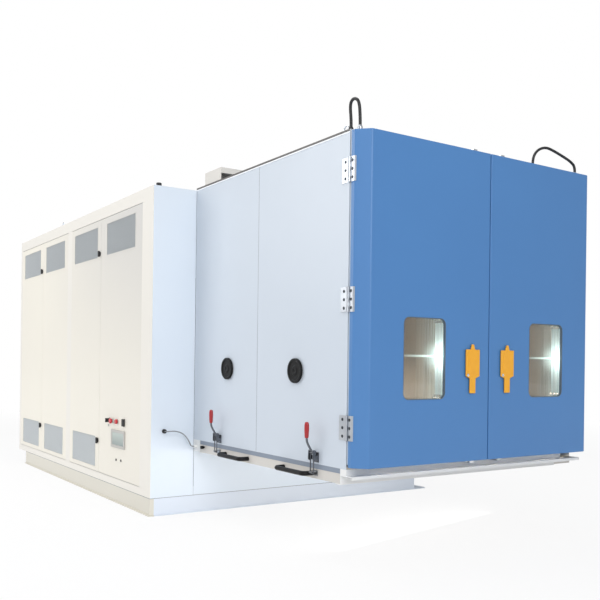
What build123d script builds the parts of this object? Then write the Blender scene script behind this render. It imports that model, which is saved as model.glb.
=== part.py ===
from build123d import *
import math
import os

os.makedirs("parts", exist_ok=True)

# Walk-up environmental test chamber, in millimetres. X runs along the doors, to the right as
# one faces them. Y runs from the doors back through the machine cabinet. Z is up.
# The origin is on the floor, under the middle of the machine cabinet's base.

# Machine cabinet
cabinet_width = 2416
cabinet_depth = 3336
cabinet_top = 2183
base_height = 116
base_rear_setback = 255
channel_flange = 118
channel_sheet = 8
foot_lip = 12
foot_lip_thick = 6
tube = 50
tube_wall = 3
cabinet_sheet = 2
cabinet_fold = 20
cabinet_gap = 3

# Insulated chamber, which stands out from the cabinet's front
chamber_width = 1790
chamber_depth = 1720
chamber_height = 1700
chamber_underside = 496
chamber_wall = 145
shell_sheet = 2
liner_sheet = 2
front_seal = 14
seat_gap = 0.3

# Double doors
door_thick = 88
door_bevel = 62
door_bevel_round = 14
door_top_drop = 9
door_bottom_lift = 11
door_meeting_gap = 6
door_sheet = 2
window_width = 292
window_height = 425
window_radius = 36
window_centre_x = 472
window_centre_z = 1056
window_pane = 6
window_recess = 16

# Door hinges
hinge_height = 125
hinge_leaf = 58
hinge_thick = 4
knuckle_radius = 8
hinge_pin_radius = 4
pin_clearance = 0.05
knuckle_gap = 1
hinge_centres_z = (704, 1345, 1992)

# Paddle handles and the turning lock bars behind them
handle_x = 135
handle_top = 1109
paddle_width = 102
paddle_length = 144
paddle_taper = 12
grip_width = 42
grip_length = 80
paddle_thick = 12
paddle_standoff = 4
paddle_tip_width = 30
paddle_tip_length = 28
spindle_radius = 9
rose_radius = 40
rose_thick = 3
lock_bar_radius = 8
lock_cam_length = 34
lock_cam_thick = 8
lock_bar_room = 1

# Removable floor plate, its rails, bow handles and clamps
seal_drop = 26
plate_skirt = 51
plate_sheet = 3
plate_rear_gap = 95
plate_front_setback = 51
rail_sheet = 4
rail_web_drop = 88
rail_foot = 40
rail_lip_out = 45
rail_lip_drop = 32
rail_lip_height = 16
rail_web_short = 153
rail_lip_short = 32
bow_length = 280
bow_reach = 58
bow_radius = 13
bow_centres_y = (602, 1285)
clamp_centres_y = (372, 1458)

# Cable ports in the left wall
port_radius = 50
port_sleeve = 2
port_flange_radius = 68
port_centres_y = (478, 1257)
port_z = 982
plug_head = 14
plug_clearance = 0.5

front_y = -cabinet_depth / 2
rear_y = cabinet_depth / 2
side_x = cabinet_width / 2
chamber_x = chamber_width / 2
chamber_front_y = front_y - chamber_depth
chamber_top = chamber_underside + chamber_height
inner_x = chamber_x - chamber_wall
inner_top = chamber_top - chamber_wall
inner_rear_y = front_y - chamber_wall
door_back_y = chamber_front_y - front_seal - 2 * seat_gap
door_front_y = door_back_y - door_thick
door_bottom = chamber_underside + door_bottom_lift
door_top = chamber_top - door_top_drop
door_height = door_top - door_bottom


def save_group(pieces, name):
    """Saves like or joined-up pieces, each its own solid, in one file."""
    save(Compound(children=[solid for piece in pieces for solid in piece.solids()]), name)


def save(solid, name):
    """Names a finished piece and writes it to its own file."""
    solid.label = name
    export_step(solid, f"parts/{name}.step")


def block(x0, x1, y0, y1, z0, z1, mode=Mode.ADD):
    """A rectangular block between two corners, for use inside a builder."""
    with BuildSketch(Plane.XY.offset(min(z0, z1))) as outline:
        with Locations(((x0 + x1) / 2, (y0 + y1) / 2)):
            Rectangle(abs(x1 - x0), abs(y1 - y0))
    extrude(outline.sketch, amount=abs(z1 - z0), mode=mode)


def tube_x(x0, x1, y, z):
    """A square tube along X, placed by its centre line."""
    with BuildSketch(Plane.YZ.offset(x0)) as outline:
        with Locations((y, z)):
            Rectangle(tube, tube)
            Rectangle(tube - 2 * tube_wall, tube - 2 * tube_wall, mode=Mode.SUBTRACT)
    extrude(outline.sketch, amount=x1 - x0)


def tube_y(x, y0, y1, z):
    """A square tube along Y, placed by its centre line."""
    with BuildSketch(Plane.XZ.offset(-y1)) as outline:
        with Locations((x, z)):
            Rectangle(tube, tube)
            Rectangle(tube - 2 * tube_wall, tube - 2 * tube_wall, mode=Mode.SUBTRACT)
    extrude(outline.sketch, amount=y1 - y0)


def tube_z(x, y, z0, z1):
    """A square tube along Z, placed by its centre line."""
    with BuildSketch(Plane.XY.offset(z0)) as outline:
        with Locations((x, y)):
            Rectangle(tube, tube)
            Rectangle(tube - 2 * tube_wall, tube - 2 * tube_wall, mode=Mode.SUBTRACT)
    extrude(outline.sketch, amount=z1 - z0)


# Base: rolled channels on the floor. The front, left and rear channels show their webs. The
# right channel is turned round, so its flanges point outwards. A thin lip runs round the foot.
base_rear_y = rear_y - base_rear_setback
right_web_x = side_x - channel_flange
cross_y = (0, (base_rear_y + tube) / 2 - tube)


def channel_y(web_x, inward, y0, y1):
    """A channel along Y: an upright web at web_x with two flanges to one side."""
    with BuildPart(mode=Mode.PRIVATE) as bar:
        block(web_x, web_x + inward * channel_sheet, y0, y1, 0, base_height)
        block(web_x, web_x + inward * channel_flange, y0, y1, 0, channel_sheet)
        block(web_x, web_x + inward * channel_flange, y0, y1, base_height - channel_sheet, base_height)
    return bar.part


def channel_x(web_y, inward, x0, x1):
    """A channel along X: an upright web at web_y with two flanges to one side."""
    with BuildPart(mode=Mode.PRIVATE) as bar:
        block(x0, x1, web_y, web_y + inward * channel_sheet, 0, base_height)
        block(x0, x1, web_y, web_y + inward * channel_flange, 0, channel_sheet)
        block(x0, x1, web_y, web_y + inward * channel_flange, base_height - channel_sheet, base_height)
    return bar.part


with BuildPart() as base_frame:
    add(channel_y(-side_x, 1, front_y, base_rear_y))
    add(channel_y(right_web_x, 1, front_y, base_rear_y))
    add(channel_x(front_y, 1, -side_x, right_web_x + channel_sheet))
    add(channel_x(base_rear_y, -1, -side_x, right_web_x + channel_sheet))
    for y in cross_y:
        add(channel_x(y - channel_flange / 2, 1, -side_x, right_web_x + channel_sheet))
    block(-side_x - foot_lip, side_x, front_y - foot_lip, front_y, 0, foot_lip_thick)
    block(-side_x - foot_lip, -side_x, front_y, base_rear_y, 0, foot_lip_thick)
save(base_frame.part, "base_frame")

# Cabinet frame: square tubes, each its own piece, standing on the base.
frame_z0 = base_height
frame_z1 = cabinet_top - cabinet_sheet
post_x = side_x - cabinet_fold - tube / 2 - cabinet_gap
post_front_y = front_y + cabinet_sheet + tube / 2
post_rear_y = rear_y - cabinet_sheet - tube / 2

# Side doors: two pairs, each hinged at its outer edge. Places are measured from the front.
pair_edges = ((183, 993, 1702), (1811, 2549, 3278))
side_door_z0 = 172
side_door_z1 = 2092
post_mid_y = front_y + (pair_edges[0][2] + pair_edges[1][0]) / 2
post_rows = (post_front_y, post_mid_y, post_rear_y)

frame_tubes = []
for x in (-post_x, post_x):
    for y in post_rows:
        with BuildPart() as post:
            tube_z(x, y, frame_z0 + tube, frame_z1 - tube)
        frame_tubes.append(post.part)
    for z in (frame_z0 + tube / 2, frame_z1 - tube / 2):
        with BuildPart() as side_bar:
            tube_y(x, post_front_y - tube / 2, post_rear_y + tube / 2, z)
        frame_tubes.append(side_bar.part)
for y in post_rows:
    for z in (frame_z0 + tube / 2, frame_z1 - tube / 2):
        with BuildPart() as cross_bar:
            tube_x(-post_x + tube / 2, post_x - tube / 2, y, z)
        frame_tubes.append(cross_bar.part)
save_group(frame_tubes, "cabinet_frame")

# Fixed cabinet sheets. The front is in three pieces, with seams in line with the chamber's
# sides. The left sheet surrounds the two pairs of doors.
panel_z0 = base_height
panel_z1 = cabinet_top - cabinet_sheet
sheet_y0 = front_y
sheet_y1 = front_y + cabinet_sheet
seam = cabinet_gap / 2
wall_hole_radius = 60
fan_rise = 250
fan_z = (inner_top + chamber_underside) / 2 + fan_rise

with BuildPart() as front_panels:
    block(-side_x, -chamber_x - seam, sheet_y0, sheet_y1, panel_z0, panel_z1)
    block(chamber_x + seam, side_x, sheet_y0, sheet_y1, panel_z0, panel_z1)
    block(-chamber_x + seam, chamber_x - seam, sheet_y0, sheet_y1, panel_z0, panel_z1)
    with Locations(Location((0, sheet_y1, fan_z), (90, 0, 0))):
        Cylinder(wall_hole_radius, 4 * cabinet_sheet, mode=Mode.SUBTRACT)

with BuildPart() as roof:
    block(-side_x, side_x, front_y, rear_y, panel_z1, cabinet_top)

with BuildPart() as rear_panel:
    block(-side_x, side_x, rear_y - cabinet_sheet, rear_y, panel_z0, panel_z1)

with BuildPart() as right_panel:
    block(side_x - cabinet_sheet, side_x, sheet_y1, rear_y - cabinet_sheet, panel_z0, panel_z1)

# The left sheet is welded up from strips round the two doorways.
stile_edges = [sheet_y1]
for near, middle, far in pair_edges:
    stile_edges += [front_y + near - seat_gap, front_y + far + seat_gap]
stile_edges.append(rear_y - cabinet_sheet)
doorway_z0 = side_door_z0 - cabinet_gap
doorway_z1 = side_door_z1 + cabinet_gap
left_strips = []
for z0, z1 in ((panel_z0, doorway_z0), (doorway_z1, panel_z1)):
    with BuildPart() as rail_strip:
        block(-side_x, -side_x + cabinet_sheet, sheet_y1, rear_y - cabinet_sheet, z0, z1)
    left_strips.append(rail_strip.part)
for y0, y1 in zip(stile_edges[::2], stile_edges[1::2]):
    with BuildPart() as stile:
        block(-side_x, -side_x + cabinet_sheet, y0, y1, doorway_z0, doorway_z1)
    left_strips.append(stile.part)

floor_x = post_x - tube / 2
floor_sheet = 4
bays = ((post_front_y + tube / 2, post_mid_y - tube / 2),
        (post_mid_y + tube / 2, post_rear_y - tube / 2))
with BuildPart() as cabinet_floor:
    for y0, y1 in bays:
        block(-floor_x, floor_x, y0, y1, base_height, base_height + floor_sheet)
deck = base_height + floor_sheet
save_group((front_panels.part, roof.part, rear_panel.part, right_panel.part,
            *left_strips, cabinet_floor.part), "cabinet_panels")

# Side doors: folded pans with punched grilles at the top and, on three of them, the bottom.
grille_width = 566
grille_height = 240
grille_top_z = 1926
grille_bottom_z = 322
grille_pitch = 38
grille_hole = 13
swing_latch_inset = 25
swing_latch_top_z = 1834
swing_latch_bottom_z = 410
swing_latch_hole = 8
grille_columns = int(grille_width / grille_pitch)
grille_rows = int(grille_height / grille_pitch)


def side_door(y0, y1, grille_centres, latch_y):
    """A door pan between y0 and y1, with holes for its grilles and its two latches."""
    with BuildPart(mode=Mode.PRIVATE) as pan:
        block(-side_x, -side_x + cabinet_fold, y0, y1, side_door_z0, side_door_z1)
        block(-side_x + cabinet_sheet, -side_x + cabinet_fold, y0 + cabinet_sheet,
              y1 - cabinet_sheet, side_door_z0 + cabinet_sheet, side_door_z1 - cabinet_sheet,
              mode=Mode.SUBTRACT)
        with BuildSketch(Plane.YZ.offset(-side_x)):
            for z in grille_centres:
                with Locations(((y0 + y1) / 2, z)):
                    with GridLocations(grille_pitch, grille_pitch, grille_columns, grille_rows):
                        Circle(grille_hole)
            if latch_y is not None:
                with Locations((latch_y, swing_latch_top_z), (latch_y, swing_latch_bottom_z)):
                    Circle(swing_latch_hole)
        extrude(amount=cabinet_sheet, mode=Mode.SUBTRACT)
    return pan.part


half_gap = cabinet_gap / 2
both_grilles = (grille_top_z, grille_bottom_z)
side_door_spans = []
for near, middle, far in pair_edges:
    side_door_spans.append((front_y + near, front_y + middle - half_gap, None))
    side_door_spans.append((front_y + middle + half_gap, front_y + far,
                            front_y + middle + swing_latch_inset))
for number, (y0, y1, latch_y) in enumerate(side_door_spans, start=1):
    grilles = (grille_top_z,) if number == 1 else both_grilles
    save(side_door(y0, y1, grilles, latch_y), f"side_door_{number}")

# Swing latches on the second and fourth doors: a round base, a wing and a cam behind.
latch_base_radius = 17
latch_base_thick = 5
latch_wing = 44
latch_wing_width = 14
latch_wing_thick = 12
latch_spindle = swing_latch_hole - pin_clearance
latch_cam = 38
latch_cam_thick = 3
latch_cam_room = 1
cam_x = -side_x + cabinet_fold + latch_cam_room
latch_names = ("front_upper", "front_lower", "rear_upper", "rear_lower")
latch_places = [(y, z) for _, _, y in side_door_spans if y is not None
                for z in (swing_latch_top_z, swing_latch_bottom_z)]


def disc_x(x0, x1, y, z, radius, mode=Mode.ADD):
    """A round bar along X between x0 and x1."""
    with BuildSketch(Plane.YZ.offset(min(x0, x1))) as outline:
        with Locations((y, z)):
            Circle(radius)
    extrude(outline.sketch, amount=abs(x1 - x0), mode=mode)


def disc_y(y0, y1, x, z, radius, mode=Mode.ADD):
    """A round bar along Y between y0 and y1."""
    with BuildSketch(Plane.XZ.offset(-max(y0, y1))) as outline:
        with Locations((x, z)):
            Circle(radius)
    extrude(outline.sketch, amount=abs(y1 - y0), mode=mode)


def disc_z(z0, z1, x, y, radius, mode=Mode.ADD):
    """A round bar along Z between z0 and z1."""
    with BuildSketch(Plane.XY.offset(min(z0, z1))) as outline:
        with Locations((x, y)):
            Circle(radius)
    extrude(outline.sketch, amount=abs(z1 - z0), mode=mode)


for name, (y, z) in zip(latch_names, latch_places):
    with BuildPart() as latch:
        disc_x(-side_x - latch_base_thick, -side_x - seat_gap / 3, y, z, latch_base_radius)
        block(-side_x - latch_base_thick - latch_wing_thick, -side_x - latch_base_thick,
              y - latch_wing_width / 2, y + latch_wing_width / 2,
              z - latch_wing / 2, z + latch_wing / 2)
        disc_x(-side_x - latch_base_thick, cam_x, y, z, latch_spindle)
    with BuildPart() as cam:
        block(cam_x, cam_x + latch_cam_thick, y - latch_wing_width / 2, y + latch_wing_width / 2,
              z - latch_wing_width / 2, z + latch_cam)
    save_group((latch.part, cam.part), f"latch_{name}")

# Control panel on the first side door: screen, switch knob, stop button and small fittings.
screen_y = front_y + 584
screen_z = 457
screen_width = 262
screen_height = 128
screen_rim = 20
screen_proud = 9
glass_proud = 4
knob_y = front_y + 765
stop_y = front_y + 686
lamp_y = front_y + 605
socket_y = front_y + 478
control_z = 582
small_dot_y = front_y + 785
small_dot_z = 543
key_places = ((front_y + 622, 305), (front_y + 527, 308))
collar_radius = 20
collar_thick = 4
stop_boss = 13
stop_boss_radius = 17
socket_half_y = 18
socket_half_z = 26
socket_thick = 14
dot_radius = 9
knob_radius = 15
knob_length = 26
stop_radius = 19
stop_head = 12
stop_stem = 7
stop_travel = 6
lamp_radius = 17
lamp_length = 20

with BuildPart() as screen_bezel:
    block(-side_x - screen_proud, -side_x, screen_y - screen_width / 2,
          screen_y + screen_width / 2, screen_z - screen_height / 2, screen_z + screen_height / 2)
    fillet(screen_bezel.edges().filter_by(Axis.X), 8)
    block(-side_x - screen_proud, -side_x - glass_proud, screen_y - screen_width / 2 + screen_rim,
          screen_y + screen_width / 2 - screen_rim, screen_z - screen_height / 2 + screen_rim,
          screen_z + screen_height / 2 - screen_rim, mode=Mode.SUBTRACT)

with BuildPart() as touch_screen:
    block(-side_x - screen_proud + 1, -side_x - glass_proud,
          screen_y - screen_width / 2 + screen_rim, screen_y + screen_width / 2 - screen_rim,
          screen_z - screen_height / 2 + screen_rim, screen_z + screen_height / 2 - screen_rim)

with BuildPart() as control_fittings:
    for y in (knob_y, lamp_y):
        disc_x(-side_x - collar_thick, -side_x, y, control_z, collar_radius)
    disc_x(-side_x - stop_boss, -side_x, stop_y, control_z, stop_boss_radius)
    disc_x(-side_x - lamp_length, -side_x - collar_thick, lamp_y, control_z, lamp_radius)
    for y in (knob_y, stop_y):
        disc_x(-side_x - stop_boss, -side_x, y, control_z, stop_stem + pin_clearance,
               mode=Mode.SUBTRACT)
    block(-side_x - socket_thick, -side_x, socket_y - socket_half_y, socket_y + socket_half_y,
          control_z - socket_half_z, control_z + socket_half_z)
    disc_x(-side_x - collar_thick, -side_x, small_dot_y, small_dot_z, dot_radius)
    for y, z in key_places:
        disc_x(-side_x - collar_thick, -side_x, y, z, dot_radius)
save_group((screen_bezel.part, touch_screen.part, control_fittings.part), "control_panel")

with BuildPart() as selector_knob:
    disc_x(-side_x - knob_length, -side_x - collar_thick - seat_gap, knob_y, control_z, knob_radius)
    disc_x(-side_x - knob_length, -side_x - seat_gap / 3, knob_y, control_z, stop_stem)
    block(-side_x - knob_length - 8, -side_x - knob_length, knob_y - 4, knob_y + 4,
          control_z - knob_radius, control_z + knob_radius)
save(selector_knob.part, "selector_knob")

stop_x = -side_x - stop_boss - stop_travel - 2 * seat_gap
with BuildPart() as stop_button:
    disc_x(stop_x - stop_head, stop_x, stop_y, control_z, stop_radius)
    fillet(stop_button.edges().sort_by(Axis.X)[0], 5)
    disc_x(stop_x, -side_x - stop_travel - seat_gap, stop_y, control_z, stop_stem)
save(stop_button.part, "stop_button")

# Chamber walls: a painted outer casing, insulation and a stainless liner, all open to the
# front and below. The liner's front flange covers the ends of the walls.
port_rows = [(front_y - y, port_z) for y in port_centres_y]
core_x = chamber_x - shell_sheet
core_top = chamber_top - shell_sheet
core_rear_y = front_y - shell_sheet
flange_y = chamber_front_y + liner_sheet
motor_bore = 34

with BuildPart() as chamber_shell:
    block(-chamber_x, chamber_x, chamber_front_y, core_rear_y + shell_sheet,
          chamber_underside, chamber_top)
    block(-core_x, core_x, chamber_front_y, core_rear_y, chamber_underside, core_top,
          mode=Mode.SUBTRACT)
    for y, z in port_rows:
        disc_x(-chamber_x, -core_x, y, z, port_radius, mode=Mode.SUBTRACT)
    disc_y(core_rear_y, core_rear_y + shell_sheet, 0, fan_z, motor_bore, mode=Mode.SUBTRACT)
save(chamber_shell.part, "chamber_shell")

with BuildPart() as insulation:
    block(-core_x, core_x, flange_y, core_rear_y, chamber_underside, core_top)
    block(-inner_x, inner_x, flange_y, inner_rear_y, chamber_underside, inner_top,
          mode=Mode.SUBTRACT)
    for y, z in port_rows:
        disc_x(-core_x, -inner_x, y, z, port_radius, mode=Mode.SUBTRACT)
    disc_y(inner_rear_y, core_rear_y, 0, fan_z, motor_bore, mode=Mode.SUBTRACT)
save(insulation.part, "chamber_insulation")

liner_x = inner_x - liner_sheet
liner_top = inner_top - liner_sheet
liner_rear_y = inner_rear_y - liner_sheet
with BuildPart() as chamber_liner:
    block(-inner_x, inner_x, flange_y, inner_rear_y, chamber_underside, inner_top)
    block(-core_x, core_x, chamber_front_y, flange_y, chamber_underside, core_top)
    block(-liner_x, liner_x, chamber_front_y, liner_rear_y, chamber_underside, liner_top,
          mode=Mode.SUBTRACT)
    for y, z in port_rows:
        disc_x(-inner_x, -liner_x, y, z, port_radius, mode=Mode.SUBTRACT)
    disc_y(liner_rear_y, inner_rear_y, 0, fan_z, motor_bore, mode=Mode.SUBTRACT)
save(chamber_liner.part, "chamber_liner")

# Door seal on the front flange and floor seal under the walls.
seal_width = 60
with BuildPart() as door_seal:
    seal_y = chamber_front_y - front_seal
    block(-inner_x - seal_width, inner_x + seal_width, seal_y, chamber_front_y,
          chamber_underside + door_bottom_lift, inner_top + seal_width)
    block(-inner_x, inner_x, seal_y, chamber_front_y, chamber_underside, inner_top,
          mode=Mode.SUBTRACT)

seal_z = chamber_underside - seal_drop
plate_y0 = chamber_front_y + plate_front_setback
plate_y1 = front_y - plate_rear_gap
seal_inset = 3
with BuildPart() as floor_seal:
    block(-chamber_x + seal_inset, chamber_x - seal_inset, plate_y0, plate_y1,
          seal_z, chamber_underside)
    block(-liner_x, liner_x, plate_y0 + seal_width, liner_rear_y, seal_z, chamber_underside,
          mode=Mode.SUBTRACT)
save_group((door_seal.part, floor_seal.part), "chamber_seals")

# Rails under the front and rear walls carry the floor plate. The front rail's lip stands out
# under the doors.
rail_gap = 2
plate_top = seal_z - seat_gap
plate_bottom = plate_top - plate_skirt
rail_foot_top = plate_bottom - seat_gap
rail_web_front = plate_y0 - rail_gap
rail_web_rear = plate_y1 + rail_gap
rail_web_end = chamber_x - rail_web_short
rail_lip_end = chamber_x - rail_lip_short
lip_y = chamber_front_y - rail_lip_out
lip_top = chamber_underside - rail_lip_drop
with BuildPart() as front_rail:
    block(-chamber_x, rail_web_end, rail_web_front - rail_sheet, rail_web_front,
          rail_foot_top - rail_sheet, chamber_underside)
    block(-chamber_x, rail_web_end, rail_web_front - rail_sheet, rail_web_front + rail_foot,
          rail_foot_top - rail_sheet, rail_foot_top)
    block(-chamber_x + rail_sheet, rail_lip_end, lip_y, rail_web_front,
          lip_top - rail_sheet, lip_top)
    block(-chamber_x + rail_sheet, rail_lip_end, lip_y, lip_y + rail_sheet,
          lip_top - rail_lip_height, lip_top)
    block(-chamber_x + rail_sheet, rail_web_end, chamber_front_y, chamber_front_y + rail_sheet,
          lip_top, chamber_underside)
    block(-chamber_x, -chamber_x + rail_sheet, chamber_front_y, rail_web_front,
          lip_top - rail_sheet, chamber_underside)

with BuildPart() as rear_rail:
    block(-chamber_x, rail_web_end, rail_web_rear, rail_web_rear + rail_sheet,
          rail_foot_top - rail_sheet, chamber_underside)
    block(-chamber_x, rail_web_end, rail_web_rear - rail_foot, rail_web_rear + rail_sheet,
          rail_foot_top - rail_sheet, rail_foot_top)

# Removable floor plate: a folded pan, open below, with bow handles at both ends and two
# catches for the clamps.
with BuildPart() as floor_plate:
    block(-chamber_x, chamber_x, plate_y0, plate_y1, plate_bottom, plate_top)
    block(-chamber_x + plate_sheet, chamber_x - plate_sheet, plate_y0 + plate_sheet,
          plate_y1 - plate_sheet, plate_bottom, plate_top - plate_sheet, mode=Mode.SUBTRACT)
save(floor_plate.part, "floor_plate")

bow_z = (plate_top + plate_bottom) / 2
bow_bend = 24


def bow(side, y):
    """A round bow handle lying level, with both feet on the plate's skirt."""
    x0 = side * chamber_x
    x1 = side * (chamber_x + bow_reach)
    with BuildPart(mode=Mode.PRIVATE) as handle:
        with BuildLine() as path:
            FilletPolyline((x0, y - bow_length / 2, bow_z), (x1, y - bow_length / 2, bow_z),
                           (x1, y + bow_length / 2, bow_z), (x0, y + bow_length / 2, bow_z),
                           radius=bow_bend)
        with BuildSketch(Plane((x0, y - bow_length / 2, bow_z), z_dir=(side, 0, 0))):
            Circle(bow_radius)
        sweep()
    return handle.part


bows = [bow(side, front_y - y) for side in (-1, 1) for y in bow_centres_y]

# A small knob on the floor plate's skirt, near the cabinet.
plate_knob_y = front_y - 161
plate_knob_z = 456
plate_knob_radius = 11
knob_neck_radius = 6
knob_neck = 8
knob_reach = 26

# Latch clamps: a bracket on the wall, a lever with a grip and a hook under the plate's catch.
clamp_pivot_z = chamber_underside + 34
clamp_pivot_out = 26
clamp_rows = [front_y - y for y in clamp_centres_y]
bracket_half = 26
bracket_sheet = 4
bracket_top = chamber_underside + 62
bracket_bottom = chamber_underside + 10
clamp_pin = 4
toggle_throw = 26
lever_half = bracket_half - bracket_sheet - seat_gap
lever_sheet = 4
hook_rod = 3.5
hook_bar_radius = 4
hook_half = lever_half - lever_sheet - seat_gap - hook_rod
catch_top = plate_top - 12
catch_thick = 5
catch_reach = 40
catch_half = hook_half - hook_rod - 1
catch_back_half = 19
arm_rise = 70
arm_out = 30
lever_arm_radius = 6
lever_plate_width = 22
lever_plate_over = 15
lever_bridge = 5
grip_radius = 13
grip_span = 84
clamp_x = -chamber_x - clamp_pivot_out
toggle_x = clamp_x
toggle_z = clamp_pivot_z + toggle_throw
bridge_z = toggle_z + 9
arm_x = clamp_x - 6
arm_bend = 12
arm_end = 20
grip_z = toggle_z + arm_rise + arm_end - arm_bend
eye_wall = 3

with BuildPart() as clamp_brackets:
    for y in clamp_rows:
        block(-chamber_x - bracket_sheet, -chamber_x, y - bracket_half, y + bracket_half,
              bracket_bottom, bracket_top)
        for side in (-1, 1):
            edge = y + side * bracket_half
            block(clamp_x - 9, -chamber_x, edge, edge - side * bracket_sheet,
                  clamp_pivot_z - 11, clamp_pivot_z + 11)
            disc_y(edge, y + side * (lever_half - lever_sheet), clamp_x, clamp_pivot_z, clamp_pin)
save(clamp_brackets.part, "clamp_brackets")

with BuildPart() as catches:
    for y in clamp_rows:
        block(-chamber_x - catch_reach, -chamber_x, y - catch_half, y + catch_half,
              catch_top - catch_thick, catch_top)
        block(-chamber_x - bracket_sheet, -chamber_x, y - catch_back_half, y + catch_back_half,
              catch_top - 24, catch_top + 6)

with BuildPart() as plate_knob:
    disc_x(-chamber_x - knob_neck, -chamber_x, plate_knob_y, plate_knob_z, knob_neck_radius)
    disc_x(-chamber_x - knob_reach, -chamber_x - knob_neck, plate_knob_y, plate_knob_z,
           plate_knob_radius)
save_group((*bows, catches.part, plate_knob.part), "plate_fittings")

hook_bar_z = catch_top - catch_thick - hook_bar_radius - seat_gap
hook_end = hook_half + hook_rod + seat_gap / 2
for number, y in enumerate(clamp_rows, start=1):
    with BuildPart() as lever:
        for side in (-1, 1):
            edge = y + side * lever_half
            with BuildSketch(Plane.XZ.offset(-max(edge, edge - side * lever_sheet))):
                with Locations((clamp_x, clamp_pivot_z + toggle_throw / 2)):
                    SlotOverall(toggle_throw + 2 * lever_plate_over, lever_plate_width, rotation=90)
                with Locations((clamp_x, clamp_pivot_z)):
                    Circle(clamp_pin + pin_clearance, mode=Mode.SUBTRACT)
            extrude(amount=lever_sheet)
        block(clamp_x - lever_plate_width / 2, clamp_x, y - lever_half, y + lever_half,
              bridge_z, bridge_z + lever_bridge)
        disc_y(y - lever_half, y + lever_half, toggle_x, toggle_z, clamp_pin)
        with BuildLine():
            arm = FilletPolyline((arm_x, y, bridge_z + lever_bridge / 2),
                                 (arm_x - arm_out, y, toggle_z + arm_rise - arm_bend),
                                 (arm_x - arm_out, y, toggle_z + arm_rise + arm_end), radius=20)
        with BuildSketch(Plane(arm @ 0, z_dir=arm % 0)):
            Circle(lever_arm_radius)
        sweep(path=arm)

    with BuildPart() as grip:
        disc_z(grip_z, grip_z + grip_span, arm_x - arm_out, y, grip_radius)
        fillet(grip.edges().filter_by(GeomType.CIRCLE), 4)
        disc_z(grip_z, grip_z + arm_bend, arm_x - arm_out, y, lever_arm_radius, mode=Mode.SUBTRACT)
    save_group((lever.part, grip.part), f"clamp_lever_{number}")

    with BuildPart() as hook:
        disc_y(y - hook_end, y + hook_end, toggle_x, toggle_z, clamp_pin + pin_clearance + eye_wall)
        for side in (-1, 1):
            disc_z(hook_bar_z, toggle_z, toggle_x, y + side * hook_half, hook_rod)
        disc_y(y - hook_end, y + hook_end, toggle_x, toggle_z, clamp_pin + pin_clearance,
               mode=Mode.SUBTRACT)
        disc_y(y - hook_end, y + hook_end, toggle_x, hook_bar_z, hook_bar_radius)
    save(hook.part, f"clamp_hook_{number}")

# Cable ports: a sleeve through the wall and a rubber plug with a domed head in each.
with BuildPart() as port_sleeves:
    for y, z in port_rows:
        disc_x(-chamber_x - port_sleeve, -liner_x, y, z, port_radius)
        disc_x(-chamber_x - port_sleeve, -chamber_x, y, z, port_flange_radius - 4)
        disc_x(-chamber_x - port_sleeve, -liner_x, y, z, port_radius - port_sleeve,
               mode=Mode.SUBTRACT)
save(port_sleeves.part, "port_sleeves")

for number, (y, z) in enumerate(port_rows, start=1):
    with BuildPart() as plug:
        disc_x(-chamber_x - port_sleeve - seat_gap - plug_head, -chamber_x - port_sleeve - seat_gap,
               y, z, port_flange_radius)
        fillet(plug.edges().sort_by(Axis.X)[0], 9)
        disc_x(-chamber_x - port_sleeve - seat_gap, -liner_x, y, z,
               port_radius - port_sleeve - plug_clearance)
    save(plug.part, f"port_plug_{number}")

# Doors. Each is a bevelled painted pan with insulation, an inner sheet, a framed double pane,
# a paddle handle and a turning lock bar. side is -1 for the left door and 1 for the right.
hinge_axis_x = chamber_x + knuckle_radius
hinge_axis_y = (chamber_front_y + door_back_y) / 2
meeting_x = door_meeting_gap / 2
frame_wall = 3
bar_inset = 30
bar_y = door_front_y + bar_inset
pivot_z = handle_top - 42
spindle_room = 2
root_two = math.sqrt(2)


def door_outline(side, inset):
    """The door's plan, drawn at its outer faces and pulled in by inset all round but the back."""
    shift = inset * (root_two - 1)
    outer = side * (chamber_x - inset)
    inner = side * (meeting_x + inset)
    with BuildLine() as plan:
        Polyline((outer, door_back_y), (outer, door_back_y - door_thick + door_bevel - shift),
                 (side * (chamber_x - door_bevel - shift), door_front_y + inset),
                 (inner, door_front_y + inset), (inner, door_back_y), close=True)
    make_face(plan.edges())


def window_cut(side, y0, y1, grow, mode=Mode.SUBTRACT):
    """A round-cornered block through the door at its window, grown by grow all round."""
    with BuildSketch(Plane.XZ.offset(-max(y0, y1))) as outline:
        with Locations((side * window_centre_x, window_centre_z)):
            RectangleRounded(window_width + 2 * grow, window_height + 2 * grow,
                             window_radius + grow)
    extrude(outline.sketch, amount=abs(y1 - y0), mode=mode)


cam_gap = 1.5
cam_top = door_top + cam_gap + lock_cam_thick - 1
cam_low = door_bottom - cam_gap - lock_cam_thick + 1
keeper_sheet = 4
keeper_seat = 50
keeper_width = 30
keeper_start = 13
gland_radius = 13
gland_height = 24
cable_radius = 8


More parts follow.
